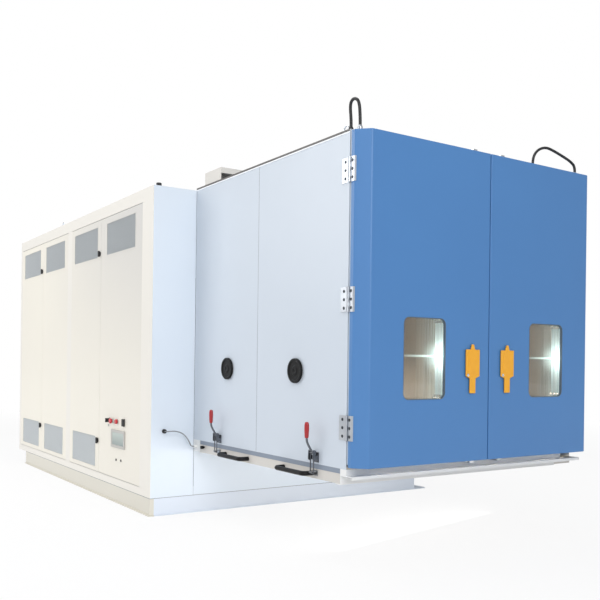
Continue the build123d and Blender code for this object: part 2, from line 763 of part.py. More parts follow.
roses = {}
for side, hand in ((-1, "left"), (1, "right")):
    bar_x = side * handle_x
    with BuildPart() as shell:
        with BuildSketch(Plane.XY.offset(door_bottom)):
            door_outline(side, 0)
        extrude(amount=door_height)
        bevels = shell.edges().filter_by(Axis.Z).filter_by(
            lambda e: e.center().Y < door_back_y - 1 and abs(e.center().X) > chamber_x - door_bevel - 1)
        fillet(bevels, door_bevel_round)
        with BuildSketch(Plane.XY.offset(door_bottom + door_sheet)):
            door_outline(side, door_sheet)
        extrude(amount=door_height - 2 * door_sheet, mode=Mode.SUBTRACT)
        window_cut(side, door_front_y, door_front_y + door_sheet, 0)
        disc_y(door_front_y, door_front_y + door_sheet, bar_x, pivot_z,
               spindle_radius + pin_clearance, mode=Mode.SUBTRACT)
        disc_z(door_bottom, door_top, bar_x, bar_y, lock_bar_radius + pin_clearance,
               mode=Mode.SUBTRACT)
    save(shell.part, f"{hand}_door_shell")

    with BuildPart() as core:
        with BuildSketch(Plane.XY.offset(door_bottom + door_sheet)):
            door_outline(side, door_sheet)
        extrude(amount=door_height - 2 * door_sheet)
        block(side * meeting_x, side * chamber_x, door_back_y - door_sheet, door_back_y,
              door_bottom, door_top, mode=Mode.SUBTRACT)
        window_cut(side, door_front_y, door_back_y, frame_wall)
        disc_y(door_front_y, bar_y, bar_x, pivot_z, spindle_radius + spindle_room,
               mode=Mode.SUBTRACT)
        disc_z(door_bottom, door_top, bar_x, bar_y, lock_bar_radius + lock_bar_room,
               mode=Mode.SUBTRACT)
    save(core.part, f"{hand}_door_insulation")

    with BuildPart() as inner_sheet:
        block(side * (meeting_x + door_sheet), side * (chamber_x - door_sheet),
              door_back_y - door_sheet, door_back_y,
              door_bottom + door_sheet, door_top - door_sheet)
        window_cut(side, door_back_y - door_sheet, door_back_y, 0)
    save(inner_sheet.part, f"{hand}_door_liner")

    frame_y0 = door_front_y + door_sheet
    frame_y1 = door_back_y - door_sheet
    with BuildPart() as window_frame:
        window_cut(side, frame_y0, frame_y1, frame_wall, mode=Mode.ADD)
        window_cut(side, frame_y0, frame_y1, 0)

    pane_y = door_front_y + window_recess
    with BuildPart() as panes:
        window_cut(side, pane_y, pane_y + window_pane, 0, mode=Mode.ADD)
        window_cut(side, frame_y1 - window_pane, frame_y1, 0, mode=Mode.ADD)
    save_group((window_frame.part, panes.part), f"{hand}_window")

    # The paddle hangs from a spindle in a round rose, and turns the lock bar by a quarter turn.
    paddle_y0 = door_front_y - paddle_standoff - paddle_thick
    paddle_y1 = door_front_y - paddle_standoff
    body_low = handle_top - paddle_length
    neck_low = body_low - paddle_taper
    with BuildPart() as handle:
        with BuildSketch(Plane.XZ.offset(-paddle_y1)):
            with BuildLine():
                Polyline((bar_x - paddle_width / 2, handle_top),
                         (bar_x - paddle_tip_width / 2, handle_top),
                         (bar_x - paddle_tip_width / 4, handle_top + paddle_tip_length),
                         (bar_x + paddle_tip_width / 4, handle_top + paddle_tip_length),
                         (bar_x + paddle_tip_width / 2, handle_top),
                         (bar_x + paddle_width / 2, handle_top),
                         (bar_x + paddle_width / 2, body_low),
                         (bar_x + grip_width / 2, neck_low),
                         (bar_x + grip_width / 2, neck_low - grip_length),
                         (bar_x - grip_width / 2, neck_low - grip_length),
                         (bar_x - grip_width / 2, neck_low),
                         (bar_x - paddle_width / 2, body_low), close=True)
            make_face()
        extrude(amount=paddle_thick)
        disc_y(paddle_y1, door_front_y - rose_thick - seat_gap, bar_x, pivot_z, 2 * spindle_radius)
        disc_y(paddle_y1, bar_y - lock_bar_radius - lock_bar_room, bar_x, pivot_z, spindle_radius)
    save(handle.part, f"{hand}_handle")

    with BuildPart() as rose:
        disc_y(door_front_y - rose_thick, door_front_y, bar_x, pivot_z, rose_radius)
        disc_y(door_front_y - rose_thick, door_front_y, bar_x, pivot_z,
               spindle_radius + pin_clearance, mode=Mode.SUBTRACT)
    roses[hand] = rose.part

    with BuildPart() as lock_bar:
        disc_z(cam_low, cam_top, bar_x, bar_y, lock_bar_radius)
        for z0, z1 in ((cam_low, door_bottom - cam_gap), (door_top + cam_gap, cam_top)):
            block(bar_x - lock_bar_radius, bar_x + lock_bar_radius, bar_y, bar_y + lock_cam_length,
                  z0, z1)
    save(lock_bar.part, f"{hand}_lock_bar")

# Keepers for the lock bars, above and below each door.
with BuildPart() as keepers:
    for side in (-1, 1):
        bar_x = side * handle_x
        x0 = bar_x - side * keeper_start
        x1 = x0 - side * keeper_width
        lip_y1 = bar_y - lock_bar_radius - cam_gap
        lip_y0 = lip_y1 - keeper_sheet
        block(x0, x1, lip_y0, chamber_front_y + keeper_seat, chamber_top, chamber_top + keeper_sheet)
        block(x0, x1, lip_y0, lip_y1, door_top + cam_gap, chamber_top)
        block(x0, x1, lip_y0, chamber_front_y, chamber_underside - keeper_sheet, chamber_underside)
        block(x0, x1, lip_y0, lip_y1, chamber_underside, door_bottom - cam_gap)
save(keepers.part, "lock_keepers")

# Hinges: three on each side, the leaf with pins on the chamber and the other on the door.
knuckle_count = 5
knuckle_length = hinge_height / knuckle_count
leaf_start = knuckle_radius + knuckle_gap


def make_leaf(side, towards, knuckles, z_mid, plan):
    """One leaf: a plate drawn by plan, with its own knuckles bored for the pin."""
    z0 = z_mid - hinge_height / 2
    with BuildPart(mode=Mode.PRIVATE) as leaf:
        with BuildSketch(Plane.XY.offset(z0)):
            with BuildLine():
                Polyline(*plan, close=True)
            make_face()
        extrude(amount=hinge_height)
        for k in knuckles:
            low = z0 + k * knuckle_length + knuckle_gap / 2
            high = low + knuckle_length - knuckle_gap
            block(side * chamber_x, side * (chamber_x + hinge_thick), hinge_axis_y,
                  hinge_axis_y + towards * leaf_start, low, high)
            disc_z(low, high, side * hinge_axis_x, hinge_axis_y, knuckle_radius)
        disc_z(z0, z0 + hinge_height, side * hinge_axis_x, hinge_axis_y,
               hinge_pin_radius + pin_clearance, mode=Mode.SUBTRACT)
    return leaf.part


door_leaf_side = door_thick - door_bevel
leaf_on_bevel = 8
pin_head = 2
fixed_knuckles = (0, 2, 4)
door_knuckles = (1, 3)
fixed_leaves = []
door_leaves = {"left": [], "right": []}
for side, hand in ((-1, "left"), (1, "right")):
    face = side * chamber_x
    out = side * (chamber_x + hinge_thick)
    start = hinge_axis_y + leaf_start
    end = chamber_front_y + hinge_leaf
    wall_plan = ((face, start), (out, start), (out, end), (face, end))
    near = hinge_axis_y - leaf_start
    bend = door_back_y - door_leaf_side
    run = leaf_on_bevel / root_two
    step = hinge_thick / root_two
    mitre = hinge_thick * math.tan(math.radians(22.5))
    door_plan = ((face, near), (face, bend), (face - side * run, bend - run),
                 (face - side * run + side * step, bend - run - step), (out, bend - mitre),
                 (out, near))
    for z in hinge_centres_z:
        fixed_leaves.append(make_leaf(side, 1, fixed_knuckles, z, wall_plan))
        door_leaves[hand].append(make_leaf(side, -1, door_knuckles, z, door_plan))
        with BuildPart() as pin:
            disc_z(z - hinge_height / 2 - pin_head, z + hinge_height / 2 + pin_head,
                   side * hinge_axis_x, hinge_axis_y, hinge_pin_radius)
        fixed_leaves.append(pin.part)
save_group(fixed_leaves, "hinge_fixed_leaves")

# Cable glands: a tapered black fitting for each end of the two door cables, on the chamber's
# top and on the doors' tops, and one on the cabinet's front for the thin sensor lead.
body_gland_x = chamber_x - 35
body_gland_y = chamber_front_y + 40
door_gland_y = door_back_y - 22.4
left_door_gland_x = chamber_x - 33
right_body_gland_x = chamber_x - 390
right_door_gland_x = chamber_x - 97
lead_gland_x = 220
lead_gland_z = 558
lead_radius = 4
lead_gland_radius = 14
lead_gland_length = 16
gland_foot = gland_height * 0.6


def gland_up(x, y, z):
    """A gland standing on a level face: a round foot with a tapered neck."""
    with BuildPart(mode=Mode.PRIVATE) as gland:
        disc_z(z, z + gland_foot, x, y, gland_radius)
        with BuildSketch(Plane.XY.offset(z + gland_foot)):
            with Locations((x, y)):
                Circle(gland_radius)
        with BuildSketch(Plane.XY.offset(z + gland_height)):
            with Locations((x, y)):
                Circle(cable_radius + 1)
        loft()
    return gland.part


with BuildPart() as lead_gland:
    disc_y(front_y - lead_gland_length, front_y, -chamber_x - lead_gland_x, lead_gland_z,
           lead_gland_radius)
fixed_glands = [gland_up(-body_gland_x, body_gland_y, chamber_top),
                gland_up(right_body_gland_x, body_gland_y, chamber_top), lead_gland.part]
door_glands = {"left": gland_up(-left_door_gland_x, door_gland_y, door_top),
               "right": gland_up(right_door_gland_x, door_gland_y, door_top)}
for hand, leaves in door_leaves.items():
    save_group((*leaves, roses[hand], door_glands[hand]), f"{hand}_door_fittings")


def cord(points, radius, name):
    """A cord's tube: straight runs joined by arcs as large as the runs beside each point allow."""
    runs = [math.dist(a, b) for a, b in zip(points, points[1:])]
    radii = []
    for i in range(1, len(points) - 1):
        into = Vector(*points[i]) - Vector(*points[i - 1])
        onward = Vector(*points[i + 1]) - Vector(*points[i])
        turn = math.radians(into.get_angle(onward))
        radii.append(0.45 * min(runs[i - 1], runs[i]) / math.tan(turn / 2))
    print(name, "runs", [round(r) for r in runs], "radii", [round(r) for r in radii])
    with BuildPart() as cord_tube:
        with BuildLine():
            path = FilletPolyline(*points, radius=radii)
        with BuildSketch(Plane(path @ 0, z_dir=path % 0)):
            Circle(radius)
        sweep(path=path)
    section = math.pi * radius ** 2
    print(name, "length", round(path.length), "ratio", cord_tube.part.volume / section / path.length)
    save(cord_tube.part, name)


# The two door cables rise from the chamber's top and bend over to the doors. Points are X, the
# distance in front of the cabinet's face, and Z.
left_loop = ((-860, 1680, 2220), (-860, 1680, 2256), (-868, 1680, 2326), (-874, 1703, 2349),
             (-874, 1734, 2349), (-869, 1757, 2326), (-862, 1757, 2250),
             (-862, 1757, 2211 + seat_gap))
right_loop = ((505, 1680, 2220), (505, 1680, 2254), (516, 1684, 2296), (546, 1692, 2328),
              (590, 1703, 2343), (632, 1715, 2334), (724, 1743, 2292), (769, 1754, 2269),
              (798, 1757, 2245), (798, 1757, 2211 + seat_gap))
lead_route = ((-1115, 16, 558), (-1115, 34, 558), (-1096, 48, 559), (-1056, 47, 560),
              (-1018, 43, 551), (-985, 41, 533), (-960, 40, 503), (-944, 40, 475),
              (-934, 40, 452), (-913, 40, 452))


def from_front(points):
    """Turns the distances in front of the cabinet into Y."""
    return [(x, front_y - out, z) for x, out, z in points]


cord(from_front(left_loop), cable_radius, "left_door_cable")
cord(from_front(right_loop), cable_radius, "right_door_cable")
cord(from_front(lead_route), lead_radius, "sensor_lead")

# The rear apron closes the space between the rear rail and the cabinet at the left. It carries
# the socket that the sensor lead goes into.
apron_socket_out = 40
apron_socket_z = 452
apron_socket_radius = 11
apron_socket_length = 18
with BuildPart() as rear_apron:
    block(-chamber_x, -chamber_x + rail_sheet, rail_web_rear + rail_sheet,
          core_rear_y + shell_sheet, rail_foot_top, chamber_underside)
    disc_x(-chamber_x - apron_socket_length, -chamber_x, front_y - apron_socket_out,
           apron_socket_z, apron_socket_radius)
save_group((front_rail.part, rear_rail.part, rear_apron.part), "plate_rails")

# Lifting eyes on the chamber's and the cabinet's roofs.
eye_ring = 20
eye_bar = 5
eye_foot = 15
eye_foot_high = 8
eye_places = [(side * (chamber_x - 60), chamber_front_y + 112, chamber_top) for side in (-1, 1)]
eye_places += [(side * (side_x - 60), front_y + 2147, cabinet_top) for side in (-1, 1)]
with BuildPart() as lifting_eyes:
    for x, y, z in eye_places:
        disc_z(z, z + eye_foot_high, x, y, eye_foot)
        with Locations(Location((x, y, z + eye_foot_high + eye_ring + eye_bar - 1), (0, 90, 0))):
            Torus(eye_ring, eye_bar)
save(lifting_eyes.part, "lifting_eyes")

# Sheet hood over the wiring on the chamber's roof, open in its front face, and a capped cable
# entry on the cabinet's roof.
hood_x0 = -chamber_x + 10
hood_x1 = hood_x0 + 420
hood_y0 = front_y - 327
hood_y1 = front_y - 102
hood_high = 86
hood_sheet = 3
hood_apron = 36
with BuildPart() as roof_hood:
    block(hood_x0, hood_x1, hood_y0, hood_y1, chamber_top, chamber_top + hood_high)
    block(hood_x0 + hood_sheet, hood_x1 - hood_sheet, hood_y0, hood_y1 - hood_sheet,
          chamber_top, chamber_top + hood_high - hood_sheet, mode=Mode.SUBTRACT)
    block(hood_x0, hood_x1, hood_y0, hood_y0 + hood_sheet,
          chamber_top + hood_high - hood_apron, chamber_top + hood_high)
save(roof_hood.part, "roof_hood")

cap_x = -side_x + 62
cap_y = front_y + 60
cap_radius = 18
cap_high = 30
with BuildPart() as roof_cap:
    disc_z(cabinet_top, cabinet_top + cap_high, cap_x, cap_y, cap_radius)
    fillet(roof_cap.faces().sort_by(Axis.Z)[-1].edges(), 4)
save_group((*fixed_glands, roof_cap.part), "cable_glands")

# Air circuit inside the chamber: a baffle in front of the coil, and a fan on a shaft that
# runs back through the wall to its motor.
baffle_depth = 240
baffle_gap = 120
baffle_y = liner_rear_y - baffle_depth
fan_radius = 175
fan_inlet = 165
fan_width = 70
fan_blades = 8
fan_blade_thick = 5
fan_shaft = 14
fan_hub = 34
motor_radius = 105
motor_length = 260
with BuildPart() as air_baffle:
    block(-liner_x, liner_x, baffle_y, baffle_y + liner_sheet, chamber_underside + baffle_gap,
          liner_top - baffle_gap)
    disc_y(baffle_y, baffle_y + liner_sheet, 0, fan_z, fan_inlet, mode=Mode.SUBTRACT)
save(air_baffle.part, "air_baffle")

fan_y0 = baffle_y + 30
with BuildPart() as circulation_fan:
    disc_y(fan_y0, sheet_y1 + 60, 0, fan_z, fan_shaft)
    disc_y(fan_y0, fan_y0 + fan_width, 0, fan_z, fan_hub)
    disc_y(fan_y0 + fan_width, fan_y0 + fan_width + 4, 0, fan_z, fan_radius)
    for k in range(fan_blades):
        with BuildSketch(Plane.XZ.offset(-(fan_y0 + fan_width))):
            with Locations((0, fan_z)):
                with PolarLocations((fan_radius + fan_hub) / 2 - 4, 1, 360 * k / fan_blades):
                    Rectangle(fan_radius - fan_hub + 6, fan_blade_thick)
        extrude(amount=fan_width)
save(circulation_fan.part, "circulation_fan")

with BuildPart() as fan_motor:
    disc_y(sheet_y1, sheet_y1 + motor_length, 0, fan_z, motor_radius)
    disc_y(sheet_y1, sheet_y1 + 62, 0, fan_z, fan_shaft + pin_clearance, mode=Mode.SUBTRACT)
    block(-30, 30, sheet_y1 + 60, sheet_y1 + 180, fan_z + motor_radius - 8, fan_z + motor_radius + 40)
save(fan_motor.part, "fan_motor")

coil_width = 1100
coil_depth = 150
coil_high = 420
coil_z = chamber_underside + 190
coil_fins = 30
with BuildPart() as evaporator:
    for z in (coil_z + 40, coil_z + coil_high / 2, coil_z + coil_high - 40):
        with BuildSketch(Plane.YZ.offset(-coil_width / 2)):
            with Locations((liner_rear_y - coil_depth / 2, z)):
                Circle(11)
        extrude(amount=coil_width)
    for k in range(coil_fins):
        x = -coil_width / 2 + (k + 0.5) * coil_width / coil_fins
        block(x - 1, x + 1, liner_rear_y - coil_depth, liner_rear_y, coil_z, coil_z + coil_high)
save(evaporator.part, "evaporator_coil")

# Machinery in the cabinet: floor sheets, two compressors, a condenser with its fan and the
# electrical plate.

compressor_radius = 150
compressor_high = 430
compressor_dome = 60
compressor_pipe = 16
compressor_places = ((-350, -950), (350, -950))
with BuildPart() as compressors:
    for x, y in compressor_places:
        disc_z(deck, deck + 12, x, y, compressor_radius + 30)
        disc_z(deck + 12, deck + compressor_high, x, y, compressor_radius)
    fillet(compressors.faces().filter_by(Axis.Z).group_by(Axis.Z)[-1].edges(), compressor_dome)
    for x, y in compressor_places:
        disc_z(deck + compressor_high - compressor_dome, deck + compressor_high + compressor_dome,
               x + compressor_radius / 2, y, compressor_pipe)
save(compressors.part, "compressors")

condenser_width = 1300
condenser_high = 1100
condenser_depth = 140
condenser_y = 900
condenser_hole = 420
condenser_fan_z = deck + condenser_high / 2 + 20
spider = 24
with BuildPart() as condenser:
    block(-condenser_width / 2, condenser_width / 2, condenser_y, condenser_y + condenser_depth,
          deck, deck + condenser_high)
    disc_y(condenser_y, condenser_y + condenser_depth, 0, condenser_fan_z, condenser_hole,
           mode=Mode.SUBTRACT)
    block(-spider / 2, spider / 2, condenser_y + condenser_depth - spider,
          condenser_y + condenser_depth, condenser_fan_z - condenser_hole - 4,
          condenser_fan_z + condenser_hole + 4)
    block(-condenser_hole - 4, condenser_hole + 4, condenser_y + condenser_depth - spider,
          condenser_y + condenser_depth, condenser_fan_z - spider / 2, condenser_fan_z + spider / 2)
    disc_y(condenser_y + condenser_depth - 3 * spider, condenser_y + condenser_depth, 0,
           condenser_fan_z, 60)
    disc_y(condenser_y, condenser_y + condenser_depth - spider, 0, condenser_fan_z,
           fan_shaft + pin_clearance, mode=Mode.SUBTRACT)
save(condenser.part, "condenser")

condenser_blades = 5
with BuildPart() as condenser_fan:
    disc_y(condenser_y + 10, condenser_y + condenser_depth - spider - 1, 0, condenser_fan_z, fan_shaft)
    disc_y(condenser_y + 10, condenser_y + 50, 0, condenser_fan_z, fan_hub * 2)
    for k in range(condenser_blades):
        with BuildSketch(Plane.XZ.offset(-(condenser_y + 40))):
            with Locations((0, condenser_fan_z)):
                with PolarLocations(condenser_hole / 2 + 10, 1, 360 * k / condenser_blades):
                    Rectangle(condenser_hole - 60, 150)
        extrude(amount=6)
save(condenser_fan.part, "condenser_fan")

plate_x = -side_x + 420
electric_high = 1500
with BuildPart() as electrical_plate:
    block(plate_x, plate_x + 4, front_y + 260, front_y + 1500, deck, deck + electric_high)
    for row in range(4):
        for column in range(5):
            y = front_y + 340 + column * 220
            z = deck + 250 + row * 320
            block(plate_x - 90, plate_x, y, y + 150, z, z + 160)
    block(plate_x, plate_x + 120, front_y + 260, front_y + 264, deck, deck + electric_high)
save(electrical_plate.part, "electrical_plate")
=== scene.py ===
import math

import bmesh
import bpy
from mathutils import Euler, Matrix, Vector


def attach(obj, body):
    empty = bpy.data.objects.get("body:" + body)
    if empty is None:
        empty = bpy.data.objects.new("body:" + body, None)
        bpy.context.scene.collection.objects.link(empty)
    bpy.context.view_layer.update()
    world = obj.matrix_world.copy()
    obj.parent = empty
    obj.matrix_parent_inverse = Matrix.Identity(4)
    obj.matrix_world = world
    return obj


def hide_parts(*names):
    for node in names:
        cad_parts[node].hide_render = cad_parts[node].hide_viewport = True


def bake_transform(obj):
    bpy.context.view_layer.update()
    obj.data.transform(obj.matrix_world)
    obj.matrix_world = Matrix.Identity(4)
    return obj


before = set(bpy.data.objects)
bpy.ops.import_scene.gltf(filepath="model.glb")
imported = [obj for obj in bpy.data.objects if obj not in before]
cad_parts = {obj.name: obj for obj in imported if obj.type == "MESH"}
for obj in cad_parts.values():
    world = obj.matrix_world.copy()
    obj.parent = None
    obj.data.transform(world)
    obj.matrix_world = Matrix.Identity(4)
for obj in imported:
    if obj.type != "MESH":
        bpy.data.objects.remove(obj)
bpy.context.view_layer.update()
bpy.ops.object.select_all(action="DESELECT")

# Camera. It stands level at about chest height, in front of the chamber's left corner, where
# the photographer stood, and leans by less than one degree.
camera_data = bpy.data.cameras.new("camera")
camera_data.sensor_width = 36
camera_data.lens = 47.5
camera_data.shift_y = 0.1015
camera_data.clip_end = 60
camera = bpy.data.objects.new("camera", camera_data)
camera.location = (-3.271, -6.544, 1.036)
camera.rotation_euler = Euler((math.radians(90), math.radians(-0.725), math.radians(-33.55)))
bpy.context.scene.collection.objects.link(camera)
bpy.context.scene.camera = camera
bpy.context.scene.view_settings.view_transform = "Standard"

# Two rubber cables for the door heaters and the window lamps. They rise from glands in the
# chamber's top, bend over in a free loop and go down into glands on the doors' top edges.
cabinet_front = -1.668
left_cable_route = ((-860, 1680, 2220), (-860, 1680, 2256), (-868, 1680, 2326),
                    (-874, 1703, 2349), (-874, 1734, 2349), (-869, 1757, 2326),
                    (-862, 1757, 2250), (-862, 1757, 2211.3))
right_cable_route = ((505, 1680, 2220), (505, 1680, 2254), (516, 1684, 2296),
                     (546, 1692, 2328), (590, 1703, 2343), (632, 1715, 2334),
                     (724, 1743, 2292), (769, 1754, 2269), (798, 1757, 2245),
                     (798, 1757, 2211.3))
sensor_lead_route = ((-1115, 16, 558), (-1115, 34, 558), (-1096, 48, 559), (-1056, 47, 560),
                     (-1018, 43, 551), (-985, 41, 533), (-960, 40, 503), (-944, 40, 475),
                     (-934, 40, 452), (-913, 40, 452))


def cable_curve(name, route, radius):
    """A smooth spline through the cable's route, which is given in mm from the cabinet's front."""
    line = bpy.data.curves.new(name, "CURVE")
    line.dimensions = "3D"
    line.resolution_u = 12
    spline = line.splines.new("NURBS")
    spline.points.add(len(route) - 1)
    for point, (x, out, z) in zip(spline.points, route):
        point.co = (x / 1000, cabinet_front - out / 1000, z / 1000, 1)
    spline.order_u = 3
    spline.use_endpoint_u = True
    line.bevel_depth = radius
    line.bevel_resolution = 4
    cable = bpy.data.objects.new(name, line)
    bpy.context.scene.collection.objects.link(cable)
    return cable


def cable_line(cable):
    """The points along a cable's spline, and its length."""
    bare = cable.data.copy()
    bare.bevel_depth = 0
    holder = bpy.data.objects.new("bare_line", bare)
    bpy.context.scene.collection.objects.link(holder)
    bpy.context.view_layer.update()
    line = bpy.data.meshes.new_from_object(holder)
    points = [vertex.co.copy() for vertex in line.vertices]
    bpy.data.objects.remove(holder)
    bpy.data.meshes.remove(line)
    return points, sum((b - a).length for a, b in zip(points, points[1:]))


def srgb(code):
    """A hex colour as the linear values that a node takes."""
    parts = [int(code[i:i + 2], 16) / 255 for i in (1, 3, 5)]
    return [p / 12.92 if p <= 0.04045 else ((p + 0.055) / 1.055) ** 2.4 for p in parts] + [1]


def add_node(material, kind, settings=None, links=None):
    """Adds a node. settings sets its attributes and sockets, links joins sockets to outputs."""
    node = material.node_tree.nodes.new(kind)
    for key, value in (settings or {}).items():
        if isinstance(key, int) or key in node.inputs:
            node.inputs[key].default_value = value
        else:
            setattr(node, key, value)
    for key, source in (links or {}).items():
        material.node_tree.links.new(source, node.inputs[key])
    return node


def new_material(name, settings):
    """A material with a single surface shader, set by settings."""
    material = bpy.data.materials.new(name)
    material.use_nodes = True
    shader = material.node_tree.nodes["Principled BSDF"]
    for key, value in settings.items():
        shader.inputs[key].default_value = value
    return material, shader


def bump_from(material, shader, height, strength, distance):
    """Joins a height pattern to the shader's surface normal."""
    bump = add_node(material, "ShaderNodeBump", {"Strength": strength, "Distance": distance},
                    {"Height": height})
    material.node_tree.links.new(bump.outputs["Normal"], shader.inputs["Normal"])


def laid_on(material, kind, settings=None):
    """Adds a node that works in the piece's own coordinates, in metres."""
    place = add_node(material, "ShaderNodeTexCoord")
    return add_node(material, kind, settings, {"Vector": place.outputs["Object"]})


def fine_grain(material, shader, scale, strength, distance, detail=2):
    """Presses a fine irregular grain into the whole surface."""
    grain = laid_on(material, "ShaderNodeTexNoise", {"Scale": scale, "Detail": detail})
    bump_from(material, shader, grain.outputs["Fac"], strength, distance)


def vary_tone(material, shader, code, shade, pattern):
    """Lets a pattern move the base colour between two shades."""
    tone = add_node(material, "ShaderNodeMix", {"data_type": "RGBA", 6: srgb(code), 7: srgb(shade)},
                    {0: pattern})
    material.node_tree.links.new(tone.outputs[2], shader.inputs["Base Color"])


def vary_gloss(material, shader, low, high, pattern):
    """Lets a pattern move the roughness between two values."""
    gloss = add_node(material, "ShaderNodeMapRange", {3: low, 4: high}, {0: pattern})
    material.node_tree.links.new(gloss.outputs[0], shader.inputs["Roughness"])


# Chloroprene rubber sheath, extruded: nearly black, with a soft broad gloss and a fine drag
# texture, drawn at 1.5 mm so that it shows.
cable_rubber, shader = new_material("chloroprene_cable_sheath", {
    "Base Color": srgb("#161619"), "Roughness": 0.46, "IOR": 1.52})
fine_grain(cable_rubber, shader, 650, 0.25, 0.0004, detail=3)

lead_sheath, shader = new_material("pvc_lead_sheath", {
    "Base Color": srgb("#8C8F92"), "Roughness": 0.5, "IOR": 1.53})
fine_grain(lead_sheath, shader, 900, 0.2, 0.0003)

for hand, route in (("left", left_cable_route), ("right", right_cable_route)):
    guide = cable_curve(f"{hand}_cable_guide", route, 0.008)
    points, length = cable_line(guide)
    bpy.ops.object.select_all(action="DESELECT")
    guide.select_set(True)
    bpy.context.view_layer.objects.active = guide
    bpy.ops.object.convert(target="MESH")
    cable = bpy.context.object
    cable.name = f"{hand}_door_cable_sheath"
    bpy.ops.object.shade_smooth()
    cable.data.materials.append(cable_rubber)
    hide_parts(f"{hand}_door_cable")
    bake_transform(cable)

lead = cable_curve("sensor_lead_sheath", sensor_lead_route, 0.004)
points, length = cable_line(lead)
lead.data.materials.append(lead_sheath)
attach(lead, "root")
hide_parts("sensor_lead")

# Studio: a white floor without an edge, a bright plain room round it, large soft lamps on the
# left, in front and above, and a small low one that lights the base under the chamber.
bpy.ops.mesh.primitive_plane_add(size=60, location=(0, 0, -0.001))
floor = bpy.context.object
floor.name = "studio_floor"
floor_paint, shader = new_material("studio_floor_paint", {
    "Base Color": srgb("#E9E9EA"), "Roughness": 0.7, "Specular IOR Level": 0.2})
path = add_node(floor_paint, "ShaderNodeLightPath")
seen = add_node(floor_paint, "ShaderNodeMath", {"operation": "MAXIMUM"},
                {0: path.outputs["Is Camera Ray"], 1: path.outputs["Is Glossy Ray"]})
glow = add_node(floor_paint, "ShaderNodeEmission", {"Color": srgb("#FFFFFF"), "Strength": 1})
reach = laid_on(floor_paint, "ShaderNodeVectorMath", {"operation": "LENGTH"})
fade = add_node(floor_paint, "ShaderNodeMapRange", {1: 4.5, 2: 9.0, 3: 0.88, 4: 1.0},
                {0: reach.outputs["Value"]})
share = add_node(floor_paint, "ShaderNodeMath", {"operation": "MULTIPLY"},
                 {0: seen.outputs[0], 1: fade.outputs[0]})
blend = add_node(floor_paint, "ShaderNodeMixShader", {}, {
    0: share.outputs[0], 1: shader.outputs[0], 2: glow.outputs[0]})
surface = floor_paint.node_tree.nodes["Material Output"]
floor_paint.node_tree.links.new(blend.outputs[0], surface.inputs["Surface"])
floor.data.materials.append(floor_paint)

room = bpy.data.worlds.new("studio_room")
bpy.context.scene.world = room
room.use_nodes = True
sky = room.node_tree.nodes["Background"]
sky.inputs["Color"].default_value = srgb("#F4F6F8")
sky.inputs["Strength"].default_value = 0.55
white = add_node(room, "ShaderNodeBackground", {"Color": srgb("#FFFFFF"), "Strength": 1})
path = add_node(room, "ShaderNodeLightPath")
seen = add_node(room, "ShaderNodeMath", {"operation": "MAXIMUM"},
                {0: path.outputs["Is Camera Ray"], 1: path.outputs["Is Transmission Ray"]})
blend = add_node(room, "ShaderNodeMixShader", {}, {
    0: seen.outputs[0], 1: sky.outputs[0], 2: white.outputs[0]})
room.node_tree.links.new(blend.outputs[0], room.node_tree.nodes["World Output"].inputs["Surface"])

lamps = (("lamp_left", (-7.2, 2.6, 4.4), 250, 5.0), ("lamp_front", (-3.4, -9.5, 4.2), 285, 5.0),
         ("lamp_above", (-1.0, -1.0, 7.5), 240, 6.0), ("lamp_low", (0.1, -2.9, 0.10), 24, 1.6))
for name, spot, power, size in lamps:
    light = bpy.data.lights.new(name, "AREA")
    light.energy = power
    light.size = size
    lamp = bpy.data.objects.new(name, light)
    lamp.location = spot
    aim = Vector((-0.2, -1.6, 0.2 if name == "lamp_low" else 1.1)) - Vector(spot)
    lamp.rotation_euler = aim.to_track_quat("-Z", "Y").to_euler()
    lamp.visible_camera = False
    bpy.context.scene.collection.objects.link(lamp)

# Base. Rolled steel channels, welded into a frame, sanded and sprayed white. The paint has a
# fine orange peel. It is painted warmer on the side of the doors and cooler on the front: painted
# light. A bead of grey sealant closes the joint under the cabinet.
def dress(material, *nodes):
    """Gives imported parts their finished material."""
    for node in nodes:
        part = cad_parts[node]
        part.data.materials.clear()
        part.data.materials.append(material)


def sprayed_paint(name, code, shade, rough, peel):
    """Sprayed enamel on sheet steel: even colour, soft clouds, and orange peel about 3 mm wide."""
    material, shader = new_material(name, {
        "Roughness": rough, "IOR": 1.5, "Coat Weight": 0.15, "Coat Roughness": 0.2})
    clouds = laid_on(material, "ShaderNodeTexNoise", {"Scale": 1.3, "Detail": 4})
    vary_tone(material, shader, code, shade, clouds.outputs["Fac"])
    wear = laid_on(material, "ShaderNodeTexNoise", {"Scale": 6, "Detail": 6})
    vary_gloss(material, shader, rough - 0.06, rough + 0.1, wear.outputs["Fac"])
    fine_grain(material, shader, 320, peel, 0.0004)
    return material


def painted_warm_side(name, warm, cool, limit):
    """Sprayed paint with painted light: warmer left of a limit, toward the side doors, cooler
    elsewhere.
    """
    material = sprayed_paint(name, cool[0], cool[1], 0.42, 0.3)
    tree = material.node_tree
    shader = tree.nodes["Principled BSDF"]
    plain = shader.inputs["Base Color"].links[0].from_socket
    split = laid_on(material, "ShaderNodeSeparateXYZ")
    side = add_node(material, "ShaderNodeMath", {"operation": "LESS_THAN", 1: limit},
                    {0: split.outputs["X"]})
    blend = add_node(material, "ShaderNodeMix", {"data_type": "RGBA", 7: srgb(warm)},
                     {0: side.outputs[0], 6: plain})
    tree.links.new(blend.outputs[2], shader.inputs["Base Color"])
    return material


base_paint = painted_warm_side("base_enamel", "#D9D5C9", ("#DFE6F0", "#D7DFEA"), -1.18)
dress(base_paint, "base_frame")


def only(obj):
    """Makes obj the one selected and active piece."""
    bpy.ops.object.select_all(action="DESELECT")
    obj.select_set(True)
    bpy.context.view_layer.objects.active = obj


